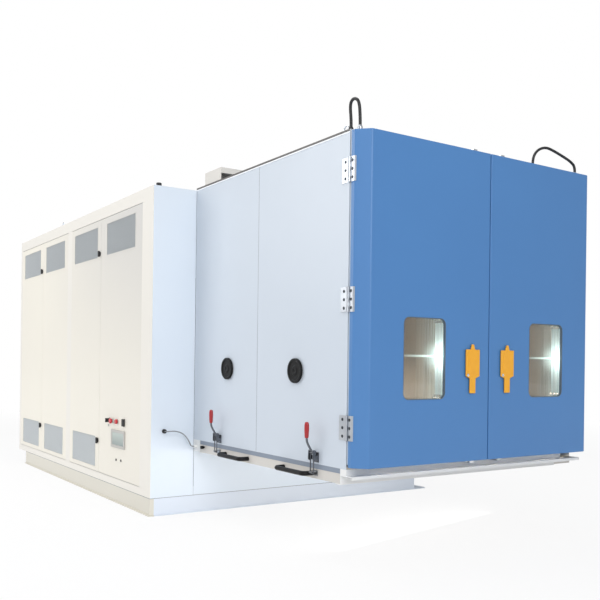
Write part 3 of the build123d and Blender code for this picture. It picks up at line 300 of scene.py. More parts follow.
def start_block(name, low, high):
    """A block between two opposite corners, in metres, to be shaped further."""
    bpy.ops.object.select_all(action="DESELECT")
    middle = [(a + b) / 2 for a, b in zip(low, high)]
    bpy.ops.mesh.primitive_cube_add(size=1, location=middle)
    piece = bpy.context.object
    piece.name = name
    piece.scale = [abs(b - a) for a, b in zip(low, high)]
    bpy.ops.object.transform_apply(location=True, rotation=True, scale=True)
    return piece


def start_round(name, centre, radius, depth, axis, vertices=48):
    """A round bar on X, Y or Z, in metres, to be shaped further."""
    turn = {"X": (0, math.pi / 2, 0), "Y": (math.pi / 2, 0, 0), "Z": (0, 0, 0)}[axis]
    bpy.ops.object.select_all(action="DESELECT")
    bpy.ops.mesh.primitive_cylinder_add(vertices=vertices, radius=radius, depth=depth,
                                        location=centre, rotation=turn)
    piece = bpy.context.object
    piece.name = name
    bpy.ops.object.transform_apply(location=True, rotation=True, scale=True)
    return piece


def pick_faces(piece, wanted):
    """Selects, in edit mode, the faces for which wanted(centre, normal) is true."""
    shape = bmesh.from_edit_mesh(piece.data)
    for face in shape.faces:
        face.select = bool(wanted(face.calc_center_median(), face.normal))
    shape.select_flush_mode()
    bmesh.update_edit_mesh(piece.data)


def bevel_edges(piece, width, segments, wanted):
    """Bevels, in edit mode, the edges for which wanted(first end, second end) is true."""
    bpy.ops.mesh.select_mode(type="EDGE")
    shape = bmesh.from_edit_mesh(piece.data)
    for face in shape.faces:
        face.select = False
    for edge in shape.edges:
        edge.select = bool(wanted(edge.verts[0].co, edge.verts[1].co))
    bmesh.update_edit_mesh(piece.data)
    bpy.ops.mesh.bevel(offset=width, segments=segments, affect="EDGES")


def press_faces(piece, wanted, *steps):
    """Insets the wanted faces step by step. Each step has a width and a depth."""
    bpy.ops.object.mode_set(mode="EDIT")
    bpy.ops.mesh.select_mode(type="FACE")
    pick_faces(piece, wanted)
    for width, depth in steps:
        bpy.ops.mesh.inset(thickness=width, depth=depth)
    bpy.ops.object.mode_set(mode="OBJECT")


def open_ring(piece, width):
    """Opens a plate that lies across X into a ring with sides of a given width."""
    bpy.ops.object.mode_set(mode="EDIT")
    bpy.ops.mesh.select_mode(type="FACE")
    pick_faces(piece, lambda c, n: abs(n.x) > 0.9)
    bpy.ops.mesh.inset(thickness=width)
    bpy.ops.mesh.bridge_edge_loops()
    bpy.ops.object.mode_set(mode="OBJECT")


def cut_through(piece, point, normal):
    """Cuts all of a piece's faces along a plane, as with a saw that leaves both halves."""
    bpy.ops.mesh.select_mode(type="FACE")
    bpy.ops.mesh.select_all(action="SELECT")
    bpy.ops.mesh.bisect(plane_co=point, plane_no=normal)


def apply_modifier(piece, kind, **settings):
    """Adds a modifier with its settings and applies it."""
    only(piece)
    modifier = piece.modifiers.new(kind.lower(), kind)
    for key, value in settings.items():
        setattr(modifier, key, value)
    bpy.ops.object.modifier_apply(modifier=modifier.name)


def soften(piece, width, segments=2, angle=35):
    """Rounds a piece's sharp edges and smooths its shading."""
    apply_modifier(piece, "BEVEL", width=width, segments=segments, limit_method="ANGLE",
                   angle_limit=math.radians(angle), use_clamp_overlap=True)
    bpy.ops.object.shade_smooth_by_angle(angle=math.radians(35))
    apply_modifier(piece, "WEIGHTED_NORMAL", weight=100, keep_sharp=True)


def finish_piece(piece, body, slot, *materials):
    """Gives a new piece its materials and its body. slot is not used."""
    for material in materials:
        piece.data.materials.append(material)
    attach(piece, body)


sealant, shader = new_material("grey_silicone_sealant", {
    "Base Color": srgb("#7C8086"), "Roughness": 0.6, "IOR": 1.43})
fine_grain(sealant, shader, 60, 0.3, 0.0006)

for name, low, high in (
        ("front", (-1.2085, -1.6685, 0.1145), (1.2078, -1.6678, 0.1175)),
        ("left", (-1.2085, -1.668, 0.1145), (-1.2078, 1.413, 0.1175))):
    bead = start_block(f"base_sealant_{name}", low, high)
    soften(bead, 0.0003)
    finish_piece(bead, "root", "seal_rubber", sealant)

# Machine cabinet. Folded sheet steel panels on a tube frame, sprayed a light cream. The paint is
# warmer on the door side and cooler on the front, which is painted light, and the side doors'
# paint has painted shade toward the upper front corner. Two sealed joints divide the sheets of
# its right side.
def painted_corner_shade(material):
    """Paints shade into a paint, greying it softly toward the cabinet's upper front corner."""
    tree = material.node_tree
    shader = tree.nodes["Principled BSDF"]
    plain = shader.inputs["Base Color"].links[0].from_socket
    split = laid_on(material, "ShaderNodeSeparateXYZ")
    high = add_node(material, "ShaderNodeMapRange",
                    {"interpolation_type": "SMOOTHSTEP", 1: 0.7, 2: 2.2, 3: 0.15, 4: 0.8},
                    {0: split.outputs["Z"]})
    front = add_node(material, "ShaderNodeMapRange",
                     {"interpolation_type": "SMOOTHSTEP", 1: 1.4, 2: -1.7, 3: 0.0, 4: 1.0},
                     {0: split.outputs["Y"]})
    both = add_node(material, "ShaderNodeMath", {"operation": "MULTIPLY"},
                    {0: high.outputs[0], 1: front.outputs[0]})
    blend = add_node(material, "ShaderNodeMix", {"data_type": "RGBA", 7: srgb("#CBC9C7")},
                     {0: both.outputs[0], 6: plain})
    tree.links.new(blend.outputs[2], shader.inputs["Base Color"])


# Side door paint: a cream made warmer by painted warm light, with painted shade added on the next
# line toward the upper front corner.
warm_paint = sprayed_paint("cabinet_door_enamel", "#EFEADD", "#EBE6DA", 0.42, 0.3)
painted_corner_shade(warm_paint)
inner_paint = sprayed_paint("inner_frame_enamel", "#D9DADA", "#CBCDCF", 0.55, 0.3)
# The panels' left faces get a warmer tint than their front: painted light.
panel_paint = painted_warm_side("cabinet_panel_enamel", "#E9E5DD", ("#E3EBF4", "#DBE5F0"), -1.2055)
dress(panel_paint, "cabinet_panels")
dress(inner_paint, "cabinet_frame")
right_joints = (-0.64, 0.39)
for number, y in enumerate(right_joints, start=1):
    joint = start_block(f"right_sheet_joint_{number}", (1.2074, y - 0.0015, 0.125),
                        (1.2079, y + 0.0015, 2.19))
    soften(joint, 0.0001)
    finish_piece(joint, "root", "cabinet_cream", sealant)

# Side doors. Four folded pans, each with a punched and framed vent at the top and, on all but
# the one with the controls, at the bottom. The vents are fine square mesh, drawn at 9 mm.
door_rows = ((-1.485, -0.6765, False), (-0.6735, 0.034, True), (0.143, 0.8795, True),
             (0.8825, 1.61, True))
side_face = -1.208
door_foot = 0.172
door_head = 2.092
vent_half_width = 0.283
vent_half_height = 0.12
vent_heights = (1.926, 0.322)

vent_mesh, shader = new_material("painted_vent_mesh", {
    "Base Color": srgb("#C9CDCF"), "Roughness": 0.5, "IOR": 1.5, "Metallic": 0.2})
fine_grain(vent_mesh, shader, 500, 0.2, 0.0003)

filter_wools = []
# The white filter mat glows a little: a painted glow that brightens the lower vents.
for name, code, shade, lit in (("grey_filter_mat", "#8B9296", "#7A8185", 0.0),
                               ("white_filter_mat", "#F4F5F5", "#E6E8E9", 0.3)):
    wool, shader = new_material(name, {"Roughness": 0.9, "IOR": 1.46, "Emission Color": srgb(code),
                                       "Emission Strength": lit})
    fibre = laid_on(wool, "ShaderNodeTexNoise", {"Scale": 260, "Detail": 5})
    vary_tone(wool, shader, code, shade, fibre.outputs["Fac"])
    bump_from(wool, shader, fibre.outputs["Fac"], 0.5, 0.001)
    filter_wools.append(wool)

for number, (y0, y1, low_vent) in enumerate(door_rows, start=1):
    middle = (y0 + y1) / 2
    vents = vent_heights if low_vent else vent_heights[:1]
    pan = start_block(f"side_door_pan_{number}", (side_face, y0, door_foot),
                      (side_face + 0.02, y1, door_head))
    bpy.ops.object.mode_set(mode="EDIT")
    for side in (-1, 1):
        cut_through(pan, (0, middle + side * vent_half_width, 0), (0, 1, 0))
        for z in vents:
            cut_through(pan, (0, 0, z + side * vent_half_height), (0, 0, 1))
    bpy.ops.mesh.select_mode(type="FACE")
    pick_faces(pan, lambda c, n: n.x > 0.9 or (n.x < -0.9 and abs(c.y - middle) < vent_half_width
               and any(abs(c.z - z) < vent_half_height for z in vents)))
    bpy.ops.mesh.delete(type="FACE")
    bpy.ops.mesh.select_all(action="SELECT")
    bpy.ops.mesh.dissolve_limited(angle_limit=0.01)
    bpy.ops.object.mode_set(mode="OBJECT")
    apply_modifier(pan, "SOLIDIFY", thickness=0.002, offset=-1)
    soften(pan, 0.0015)
    finish_piece(pan, f"side_door_{number}", "cabinet_cream", warm_paint)
    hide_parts(f"side_door_{number}")
    for level, z in zip(("upper", "lower"), vents):
        rim = start_block(f"vent_frame_{number}_{level}",
                          (side_face - 0.0015, middle - vent_half_width - 0.008, z - 0.128),
                          (side_face + 0.001, middle + vent_half_width + 0.008, z + 0.128))
        open_ring(rim, 0.012)
        soften(rim, 0.0006)
        finish_piece(rim, f"side_door_{number}", "cabinet_cream", warm_paint)
        bpy.ops.object.select_all(action="DESELECT")
        bpy.ops.mesh.primitive_grid_add(x_subdivisions=27, y_subdivisions=63, size=1,
                                        location=(side_face + 0.002, middle, z),
                                        rotation=(0, -math.pi / 2, 0))
        net = bpy.context.object
        net.name = f"vent_mesh_{number}_{level}"
        net.scale = (2 * vent_half_height, 2 * vent_half_width, 1)
        bpy.ops.object.transform_apply(location=True, rotation=True, scale=True)
        apply_modifier(net, "WIREFRAME", thickness=0.003, use_even_offset=False,
                       use_relative_offset=False)
        finish_piece(net, f"side_door_{number}", "cabinet_cream", vent_mesh)
        pad = start_block(f"vent_filter_{number}_{level}",
                          (side_face + 0.007, middle - vent_half_width - 0.012, z - 0.132),
                          (side_face + 0.015, middle + vent_half_width + 0.012, z + 0.132))
        press_faces(pad, lambda c, n: n.x < -0.9, (0.01, -0.003))
        soften(pad, 0.002)
        finish_piece(pad, f"side_door_{number}", "cabinet_cream",
                     filter_wools[0] if level == "upper" else filter_wools[1])

# Swing latches. Moulded black glass-filled nylon, with a fine spark-eroded grain that scatters
# the light, so the edges read brighter than the faces.
black_nylon, shader = new_material("black_glass_filled_nylon", {
    "Base Color": srgb("#1B1B1D"), "Roughness": 0.48, "IOR": 1.53})
grain = laid_on(black_nylon, "ShaderNodeTexVoronoi", {"Scale": 900})
bump_from(black_nylon, shader, grain.outputs["Distance"], 0.25, 0.0003)
dress(black_nylon, "latch_front_upper", "latch_front_lower", "latch_rear_upper",
      "latch_rear_lower", "selector_knob", "cable_glands")

# Control panel on the first side door. A black polycarbonate bezel round a touch screen, with a
# selector, a red stop button in a yellow-grey boss, a red lamp and a socket above it.
screen_glass, shader = new_material("touch_screen_glass", {
    "Roughness": 0.12, "IOR": 1.5, "Emission Strength": 0.3})
split = laid_on(screen_glass, "ShaderNodeSeparateXYZ")
rise = add_node(screen_glass, "ShaderNodeMapRange", {1: 0.40, 2: 0.51, 3: 0.0, 4: 1.0},
                {0: split.outputs["Z"]})
shade = add_node(screen_glass, "ShaderNodeMix", {"data_type": "RGBA", 6: srgb("#6E7A78"),
                                                 7: srgb("#A3ADA8")}, {0: rise.outputs[0]})
screen_glass.node_tree.links.new(shade.outputs[2], shader.inputs["Base Color"])
screen_glass.node_tree.links.new(shade.outputs[2], shader.inputs["Emission Color"])

panel_frame, shader = new_material("grey_polycarbonate", {
    "Base Color": srgb("#B9B7B2"), "Roughness": 0.38, "IOR": 1.58})
fine_grain(panel_frame, shader, 800, 0.15, 0.0002)

red_cap, shader = new_material("red_moulded_nylon", {
    "Base Color": srgb("#C4202A"), "Roughness": 0.32, "IOR": 1.53, "Coat Weight": 0.3})
fine_grain(red_cap, shader, 700, 0.12, 0.0003)
dress(red_cap, "stop_button")

screen_middle = (-1.084, 0.457)
bezel = start_block("screen_bezel", (side_face - 0.009, screen_middle[0] - 0.131, 0.393),
                    (side_face, screen_middle[0] + 0.131, 0.521))
press_faces(bezel, lambda c, n: n.x < -0.9, (0.016, 0), (0.002, -0.004))
soften(bezel, 0.0018)
finish_piece(bezel, "side_door_1", "panel_plastic", panel_frame)
screen = start_block("touch_screen", (side_face - 0.0052, screen_middle[0] - 0.112, 0.412),
                     (side_face - 0.003, screen_middle[0] + 0.112, 0.502))
soften(screen, 0.0006)
finish_piece(screen, "side_door_1", "panel_plastic", screen_glass)

controls_z = 0.582
lamp_cap = start_round("signal_lamp", (side_face - 0.012, -1.063, controls_z), 0.017, 0.016, "X")
soften(lamp_cap, 0.005, segments=4)
finish_piece(lamp_cap, "side_door_1", "panel_plastic", red_cap)
for name, y, z, radius, thick in (
        ("lamp_collar", -1.063, controls_z, 0.020, 0.004),
        ("selector_collar", -0.903, controls_z, 0.020, 0.004),
        ("stop_collar", -0.982, controls_z, 0.017, 0.013),
        ("small_lamp", -0.883, 0.543, 0.009, 0.004), ("key_rear", -1.046, 0.305, 0.009, 0.004),
        ("key_front", -1.141, 0.308, 0.009, 0.004)):
    collar = start_round(name, (side_face - thick / 2, y, z), radius, thick, "X", 32)
    if name in ("selector_collar", "stop_collar"):
        open_ring(collar, radius - 0.0075)
    soften(collar, 0.0012)
    finish_piece(collar, "side_door_1", "panel_plastic",
                 black_nylon if name.startswith("key") else panel_frame)
socket = start_block("panel_socket", (side_face - 0.014, -1.208, 0.556), (side_face, -1.172, 0.608))
press_faces(socket, lambda c, n: n.x < -0.9, (0.006, -0.004))
soften(socket, 0.002)
finish_piece(socket, "side_door_1", "panel_plastic", black_nylon)
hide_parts("control_panel")

# Chamber casing. Sheet steel sprayed a cool white, with one sheet joint in each side about
# half way along and folded trims at its front corners.
casing_paint = sprayed_paint("chamber_casing_enamel", "#CDD5DF", "#C6CFD9", 0.38, 0.3)
hood_paint = sprayed_paint("roof_hood_enamel", "#DDD9D2", "#D3CFC8", 0.45, 0.3)
rail_paint = sprayed_paint("rail_enamel", "#ECECEA", "#E2E3E3", 0.45, 0.3)
dress(casing_paint, "chamber_shell")
dress(hood_paint, "roof_hood")
dress(rail_paint, "plate_rails")
both_sides = ((-1, "left"), (1, "right"))
chamber_half = 0.895
chamber_front = -3.388
joint_y = -2.503
for side, hand in both_sides:
    x = side * chamber_half
    seam = start_block(f"casing_seam_{hand}", (x, joint_y - 0.0012, 0.5),
                       (x + side * 0.0004, joint_y + 0.0012, 2.19))
    soften(seam, 0.0001)
    finish_piece(seam, "root", "chamber_white", sealant)
    trim = start_block(f"front_trim_{hand}", (x, chamber_front, 0.498),
                       (x + side * 0.0012, chamber_front + 0.044, 2.194))
    soften(trim, 0.0005)
    finish_piece(trim, "root", "chamber_white", casing_paint)

# Roof edges. A grey folded drip strip closes the joint of roof and side sheets, over a pale
# strip that is a painted highlight.
drip_grey = sprayed_paint("drip_strip_enamel", "#5D5956", "#514D4B", 0.5, 0.3)
# Painted highlight: a pale strip under the drip strip, along the roof edge.
painted_highlight_bead, shader = new_material("roof_edge_painted_highlight", {
    "Base Color": srgb("#F2F5F8"), "Roughness": 0.4, "IOR": 1.43})
fine_grain(painted_highlight_bead, shader, 60, 0.3, 0.0006)
for side, hand in both_sides:
    x = side * chamber_half
    for name, low, high, finish in (("drip_strip", 2.1855, 2.1968, drip_grey),
                                    ("roof_edge_highlight", 2.178, 2.1855, painted_highlight_bead)):
        strip = start_block(f"{name}_{hand}", (x, chamber_front + 0.002, low),
                            (x + side * 0.0024, cabinet_front - 0.001, high))
        soften(strip, 0.0006)
        finish_piece(strip, "root", "chamber_white", finish)

# Door gaskets. Extruded silicone hollow sections on the casing's front edges, pale grey, which
# close the slit between the casing and the doors.
gasket_grey, shader = new_material("pale_grey_gasket", {
    "Base Color": srgb("#A9B6C6"), "Roughness": 0.6, "IOR": 1.43})
fine_grain(gasket_grey, shader, 300, 0.3, 0.0004)
gasket_inner = 0.878
gasket_front = -3.4022
for side, hand in both_sides:
    gasket = start_block(f"door_gasket_{hand}", (side * gasket_inner, gasket_front, 0.520),
                         (side * 0.893, chamber_front, 2.19))
    soften(gasket, 0.003, segments=3)
    finish_piece(gasket, "root", "seal_rubber", gasket_grey)
lintel = start_block("door_gasket_top", (-gasket_inner, gasket_front, 2.172),
                     (gasket_inner, chamber_front, 2.187))
soften(lintel, 0.003, segments=3)
finish_piece(lintel, "root", "seal_rubber", gasket_grey)

# Inside the chamber. Brushed stainless steel sheet, with the brushing running upright and soft
# streaks where the light rakes it. The seals are extruded silicone sponge.
def brushed(name, code, shade, rough):
    """Sheet metal brushed upright: hair lines about 2 mm apart, drawn coarse."""
    material, shader = new_material(name, {"Metallic": 1.0, "Roughness": rough})
    lay = laid_on(material, "ShaderNodeMapping", {"Scale": (260, 260, 1.5)})
    hair = add_node(material, "ShaderNodeTexNoise", {"Scale": 1.0, "Detail": 5},
                    {"Vector": lay.outputs[0]})
    vary_tone(material, shader, code, shade, hair.outputs["Fac"])
    vary_gloss(material, shader, rough - 0.08, rough + 0.12, hair.outputs["Fac"])
    bump_from(material, shader, hair.outputs["Fac"], 0.12, 0.0003)
    return material


liner_steel = brushed("brushed_stainless_liner", "#C9C2B8", "#A8A197", 0.3)
bright_stainless = brushed("bright_stainless", "#C9C9C9", "#B4B5B7", 0.24)
dress(liner_steel, "chamber_liner", "air_baffle", "circulation_fan", "port_sleeves")

sponge_seal, shader = new_material("silicone_sponge_seal", {
    "Base Color": srgb("#8C96A4"), "Roughness": 0.72, "IOR": 1.43})
cells = laid_on(sponge_seal, "ShaderNodeTexVoronoi", {"Scale": 450})
bump_from(sponge_seal, shader, cells.outputs["Distance"], 0.3, 0.0005)
dress(sponge_seal, "chamber_seals")

glass_wool, shader = new_material("insulation_foam", {"Roughness": 0.9, "IOR": 1.45})
cells = laid_on(glass_wool, "ShaderNodeTexNoise", {"Scale": 220, "Detail": 6})
vary_tone(glass_wool, shader, "#E3CF94", "#C9B274", cells.outputs["Fac"])
bump_from(glass_wool, shader, cells.outputs["Fac"], 0.6, 0.002)
dress(glass_wool, "chamber_insulation", "left_door_insulation", "right_door_insulation")

# Machinery. Black enamelled compressors, aluminium fins on copper tube, cast motor housings in
# grey, and zinc-plated backing sheet for the switchgear.
compressor_enamel = sprayed_paint("black_compressor_enamel", "#1D1E20", "#28292B", 0.4, 0.4)
fin_stock = brushed("aluminium_fin_stock", "#C4C7CA", "#AEB2B6", 0.35)
motor_cast = sprayed_paint("grey_cast_enamel", "#6E747A", "#7C8187", 0.5, 0.6)
dress(compressor_enamel, "compressors")
dress(fin_stock, "condenser", "evaporator_coil")
dress(motor_cast, "fan_motor", "condenser_fan", "electrical_plate")

# Fittings in plated steel. The lock keepers and eyes are bright zinc plate, the hinges are
# stainless, and the clamps are dull and dark from handling. All show faint cloudy wear.
def worn_metal(name, code, shade, rough):
    """Plated steel with cloudy wear about 70 mm wide, which changes its tone and gloss."""
    material, shader = new_material(name, {"Metallic": 1.0, "Roughness": rough})
    cloud = laid_on(material, "ShaderNodeTexNoise", {"Scale": 14, "Detail": 2})
    vary_tone(material, shader, code, shade, cloud.outputs["Fac"])
    vary_gloss(material, shader, rough - 0.05, rough + 0.06, cloud.outputs["Fac"])
    return material


plated = worn_metal("bright_zinc_plate", "#E2E4E7", "#CCD0D4", 0.25)
hinge_steel = worn_metal("hinge_stainless", "#CDD1D6", "#B0B5BC", 0.3)
clamp_steel = worn_metal("handled_clamp_steel", "#7B7E84", "#5E6167", 0.32)
screw_steel = worn_metal("dark_screw_steel", "#4F5358", "#3C3F44", 0.4)
dress(plated, "lock_keepers", "lifting_eyes", "left_lock_bar", "right_lock_bar")
dress(hinge_steel, "hinge_fixed_leaves", "left_door_fittings", "right_door_fittings")
dress(clamp_steel, "clamp_brackets", "clamp_hook_1", "clamp_hook_2")

# Doors. Each is a folded steel pan sprayed blue, with a wide bevel on its outer edge and a
# rounded outline. The window is a round-cornered cutout. The paint is smooth and half glossy.
door_blue = sprayed_paint("door_blue_enamel", "#4C82BC", "#477BB5", 0.4, 0.3)
door_face = -3.4906
door_back = -3.4026
door_low = 0.507
door_high = 2.187
bevel_run = 0.062
window_x = 0.472
window_z = 1.056
window_half = (0.146, 0.2125)
window_corner = 0.036
handle_x = 0.135
spindle_z = 1.067


def rounded_window(name, x, y0, y1, grow):
    """A round-cornered block on the window's axis, larger than the window by grow."""
    block = start_block(name, (x - window_half[0] - grow, y0, window_z - window_half[1] - grow),
                        (x + window_half[0] + grow, y1, window_z + window_half[1] + grow))
    bpy.ops.object.mode_set(mode="EDIT")
    bevel_edges(block, window_corner + grow, 10, lambda a, b: abs(a.y - b.y) > 0.5 * abs(y1 - y0))
    bpy.ops.mesh.select_all(action="SELECT")
    bpy.ops.mesh.normals_make_consistent(inside=False)
    bpy.ops.object.mode_set(mode="OBJECT")
    return block


def carve(piece, cutter):
    """Cuts cutter's shape out of piece and removes cutter."""
    apply_modifier(piece, "BOOLEAN", object=cutter, operation="DIFFERENCE", solver="EXACT")
    bpy.data.objects.remove(cutter)


for side, hand in both_sides:
    outer = side * chamber_half
    inner = side * 0.003
    pan = start_block(f"{hand}_door_pan", (outer, door_face, door_low),
                      (inner, door_back, door_high))
    bpy.ops.object.mode_set(mode="EDIT")
    bevel_edges(pan, bevel_run, 1, lambda a, b: abs(a.z - b.z) > 1
                and a.y < door_face + 0.001 and abs(a.x - outer) < 0.001)
    bevel_edges(pan, 0.0055, 4, lambda a, b: abs(a.z - b.z) > 1
                and min(a.y, b.y) < door_back - 0.005
                and abs(a.x) > chamber_half - bevel_run - 0.002)
    bevel_edges(pan, 0.005, 3, lambda a, b: abs(a.z - b.z) > 1
                and a.y < door_face + 0.001 and abs(a.x - inner) < 0.001)
    bpy.ops.mesh.select_mode(type="FACE")
    pick_faces(pan, lambda c, n: n.y > 0.9)
    bpy.ops.mesh.delete(type="FACE")
    bevel_edges(pan, 0.004, 3, lambda a, b: abs(a.z - b.z) < 0.001 and a.y < door_back - 0.001
                and b.y < door_back + 0.001
                and (a.z > door_high - 0.001 or a.z < door_low + 0.001)
                and not (abs(a.x - inner) < 0.0055 and abs(b.x - inner) < 0.0055))
    bpy.ops.object.mode_set(mode="OBJECT")
    apply_modifier(pan, "SOLIDIFY", thickness=0.0018, offset=-1)
    carve(pan, rounded_window("window_cutter", side * window_x, door_face - 0.01,
                              door_face + 0.012, 0))
    carve(pan, start_round("spindle_cutter", (side * handle_x, door_face, spindle_z), 0.0092,
                           0.03, "Y", 32))
    bar_cutter = start_round("bar_cutter", (side * handle_x, door_face + 0.03, 1.35), 0.0086,
                             1.8, "Z", 32)
    carve(pan, bar_cutter)
    soften(pan, 0.0012)
    finish_piece(pan, f"{hand}_door", "door_blue", door_blue)
    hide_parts(f"{hand}_door_shell")
    dress(liner_steel, f"{hand}_door_liner")

# Windows. A pressed stainless surround and a grey rubber lip hold two panes of toughened glass
# with a heated coating. The panes glow with a painted glare of the lamp beside them.
# Height of the centre of the painted glare, also the middle of the window lamps' glow.
painted_glare_height = 1.07


def painted_glare_glass(name, edge):
    """Clear glass with a painted glare glowing in it: a halo at its right edge, a level streak and
    faint upright streaks near that edge.
    """
    material, shader = new_material(name, {
        "Base Color": srgb("#E4E2DD"), "Roughness": 0.0, "IOR": 1.5, "Transmission Weight": 1.0,
        "Emission Color": srgb("#D2F6F8")})
    fine_grain(material, shader, 5, 0.03, 0.002)
    split = laid_on(material, "ShaderNodeSeparateXYZ")
    across = add_node(material, "ShaderNodeMath", {"operation": "SUBTRACT", 0: edge},
                      {1: split.outputs["X"]})
    above = add_node(material, "ShaderNodeMath", {"operation": "SUBTRACT", 1: painted_glare_height},
                     {0: split.outputs["Z"]})
    apart = add_node(material, "ShaderNodeMath", {"operation": "ABSOLUTE"}, {0: above.outputs[0]})
    thin = add_node(material, "ShaderNodeMapRange",
                    {"interpolation_type": "SMOOTHERSTEP", 1: 0.0, 2: 0.010, 3: 0.42, 4: 0.0},
                    {0: apart.outputs[0]})
    reach = add_node(material, "ShaderNodeMapRange", {1: 0.02, 2: 0.27, 3: 0.9, 4: 0.08},
                     {0: across.outputs[0]})
    streak = add_node(material, "ShaderNodeMath", {"operation": "MULTIPLY"},
                      {0: thin.outputs[0], 1: reach.outputs[0]})
    spot = add_node(material, "ShaderNodeCombineXYZ", {},
                    {0: across.outputs[0], 2: above.outputs[0]})
    away = add_node(material, "ShaderNodeVectorMath", {"operation": "LENGTH"},
                    {0: spot.outputs[0]})
    halo = add_node(material, "ShaderNodeMapRange",
                    {"interpolation_type": "SMOOTHERSTEP", 1: 0.0, 2: 0.11, 3: 0.42, 4: 0.0},
                    {0: away.outputs["Value"]})
    # Faint upright painted streaks near the right edge.
    lines = laid_on(material, "ShaderNodeMapping", {"Scale": (220, 0, 1.5)})
    comb = add_node(material, "ShaderNodeTexNoise", {"Scale": 1.0, "Detail": 2},
                    {"Vector": lines.outputs[0]})
    rough = add_node(material, "ShaderNodeMapRange", {1: 0.4, 2: 0.65, 3: 0.0, 4: 0.12},
                     {0: comb.outputs["Fac"]})
    near = add_node(material, "ShaderNodeMapRange", {1: 0.04, 2: 0.2, 3: 1.0, 4: 0.0},
                    {0: across.outputs[0]})
    hair = add_node(material, "ShaderNodeMath", {"operation": "MULTIPLY"},
                    {0: rough.outputs[0], 1: near.outputs[0]})
    part = add_node(material, "ShaderNodeMath", {"operation": "ADD"},
                    {0: streak.outputs[0], 1: halo.outputs[0]})
    total = add_node(material, "ShaderNodeMath", {"operation": "ADD"},
                     {0: part.outputs[0], 1: hair.outputs[0]})
    material.node_tree.links.new(total.outputs[0], shader.inputs["Emission Strength"])
    return material


window_rubber, shader = new_material("grey_window_rubber", {
    "Base Color": srgb("#5F6E7C"), "Roughness": 0.55, "IOR": 1.52})
fine_grain(window_rubber, shader, 500, 0.2, 0.0003)
for side, hand in both_sides:
    x = side * window_x
    tunnel = rounded_window(f"{hand}_window_frame", x, door_face + 0.002, door_back - 0.0022,
                            0.0028)
    carve(tunnel, rounded_window("tunnel_cutter", x, door_face - 0.01, door_back + 0.01,
                                 0.0))
    soften(tunnel, 0.0008)
    finish_piece(tunnel, f"{hand}_door", "window_glass", bright_stainless)
    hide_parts(f"{hand}_window")
    pane_glass = painted_glare_glass(f"{hand}_window_glass", x + window_half[0])
    for name, y in (("outer", door_face + 0.016), ("inner", door_back - 0.008)):
        pane = rounded_window(f"{hand}_{name}_pane", x, y, y + 0.006, -0.0006)
        soften(pane, 0.0005)
        finish_piece(pane, f"{hand}_door", "window_glass", pane_glass)
    lip = rounded_window(f"{hand}_window_lip", x, door_face - 0.0012, door_face + 0.0155,
                         -0.0004)
    carve(lip, rounded_window("lip_cutter", x, door_face - 0.02, door_face + 0.03, -0.0035))
    soften(lip, 0.001, segments=3)
    finish_piece(lip, f"{hand}_door", "seal_rubber", window_rubber)

# Window lamps. A fluted glass strip with lamps behind it stands in the right side of each
# window's tunnel. It glows as a lamp, and its glow is a painted highlight too: brightest at the
# middle, fading towards its ends.
fluted_painted_glow, shader = new_material("fluted_lamp_painted_glow", {
    "Base Color": srgb("#C9DADC"), "Roughness": 0.25, "IOR": 1.5, "Emission Strength": 1.0})
split = laid_on(fluted_painted_glow, "ShaderNodeSeparateXYZ")
above = add_node(fluted_painted_glow, "ShaderNodeMath", {"operation": "SUBTRACT", 1: painted_glare_height},
                 {0: split.outputs["Z"]})
apart = add_node(fluted_painted_glow, "ShaderNodeMath", {"operation": "ABSOLUTE"}, {0: above.outputs[0]})
# Painted highlight: the glow peaks at the glare height and fades towards the strip's ends.
glow = add_node(fluted_painted_glow, "ShaderNodeMapRange",
                {"interpolation_type": "SMOOTHERSTEP", 1: 0.0, 2: 0.19, 3: 1.7, 4: 0.3},
                {0: apart.outputs[0]})
stretch = laid_on(fluted_painted_glow, "ShaderNodeMapping", {"Scale": (0, 160, 1.2)})
flute = add_node(fluted_painted_glow, "ShaderNodeTexNoise", {"Scale": 1.0, "Detail": 3},
                 {"Vector": stretch.outputs[0]})
ridge = add_node(fluted_painted_glow, "ShaderNodeMapRange", {1: 0.35, 2: 0.65, 3: 0.35, 4: 1.0},
                 {0: flute.outputs["Fac"]})
power = add_node(fluted_painted_glow, "ShaderNodeMath", {"operation": "MULTIPLY"},
                 {0: glow.outputs[0], 1: ridge.outputs[0]})
shade = add_node(fluted_painted_glow, "ShaderNodeMix", {"data_type": "RGBA", 6: srgb("#9FD3DA"),
                                                7: srgb("#F4FFFF")}, {0: ridge.outputs[0]})
scaled = add_node(fluted_painted_glow, "ShaderNodeVectorMath", {"operation": "SCALE"},
                  {0: shade.outputs[2], "Scale": power.outputs[0]})
fluted_painted_glow.node_tree.links.new(scaled.outputs[0], shader.inputs["Emission Color"])
bump_from(fluted_painted_glow, shader, flute.outputs["Fac"], 0.5, 0.002)
for side, hand in both_sides:
    edge = side * window_x + window_half[0]
    strip = start_block(f"{hand}_window_lamp", (edge - 0.005, door_face + 0.023, window_z - 0.19),
                        (edge - 0.0004, door_back - 0.0095, window_z + 0.19))
    bpy.ops.object.mode_set(mode="EDIT")
    for row in range(1, 6):
        cut_through(strip, (0, door_face + 0.023 + 0.0092 * row, 0), (0, 1, 0))
    bevel_edges(strip, 0.0015, 1, lambda a, b: a.x < edge - 0.004 and b.x < edge - 0.004
                and abs(a.z - b.z) > 0.1 and door_face + 0.024 < a.y < door_back - 0.0105)
    bpy.ops.object.mode_set(mode="OBJECT")
    soften(strip, 0.0006)
    finish_piece(strip, f"{hand}_door", "window_glass", fluted_painted_glow)

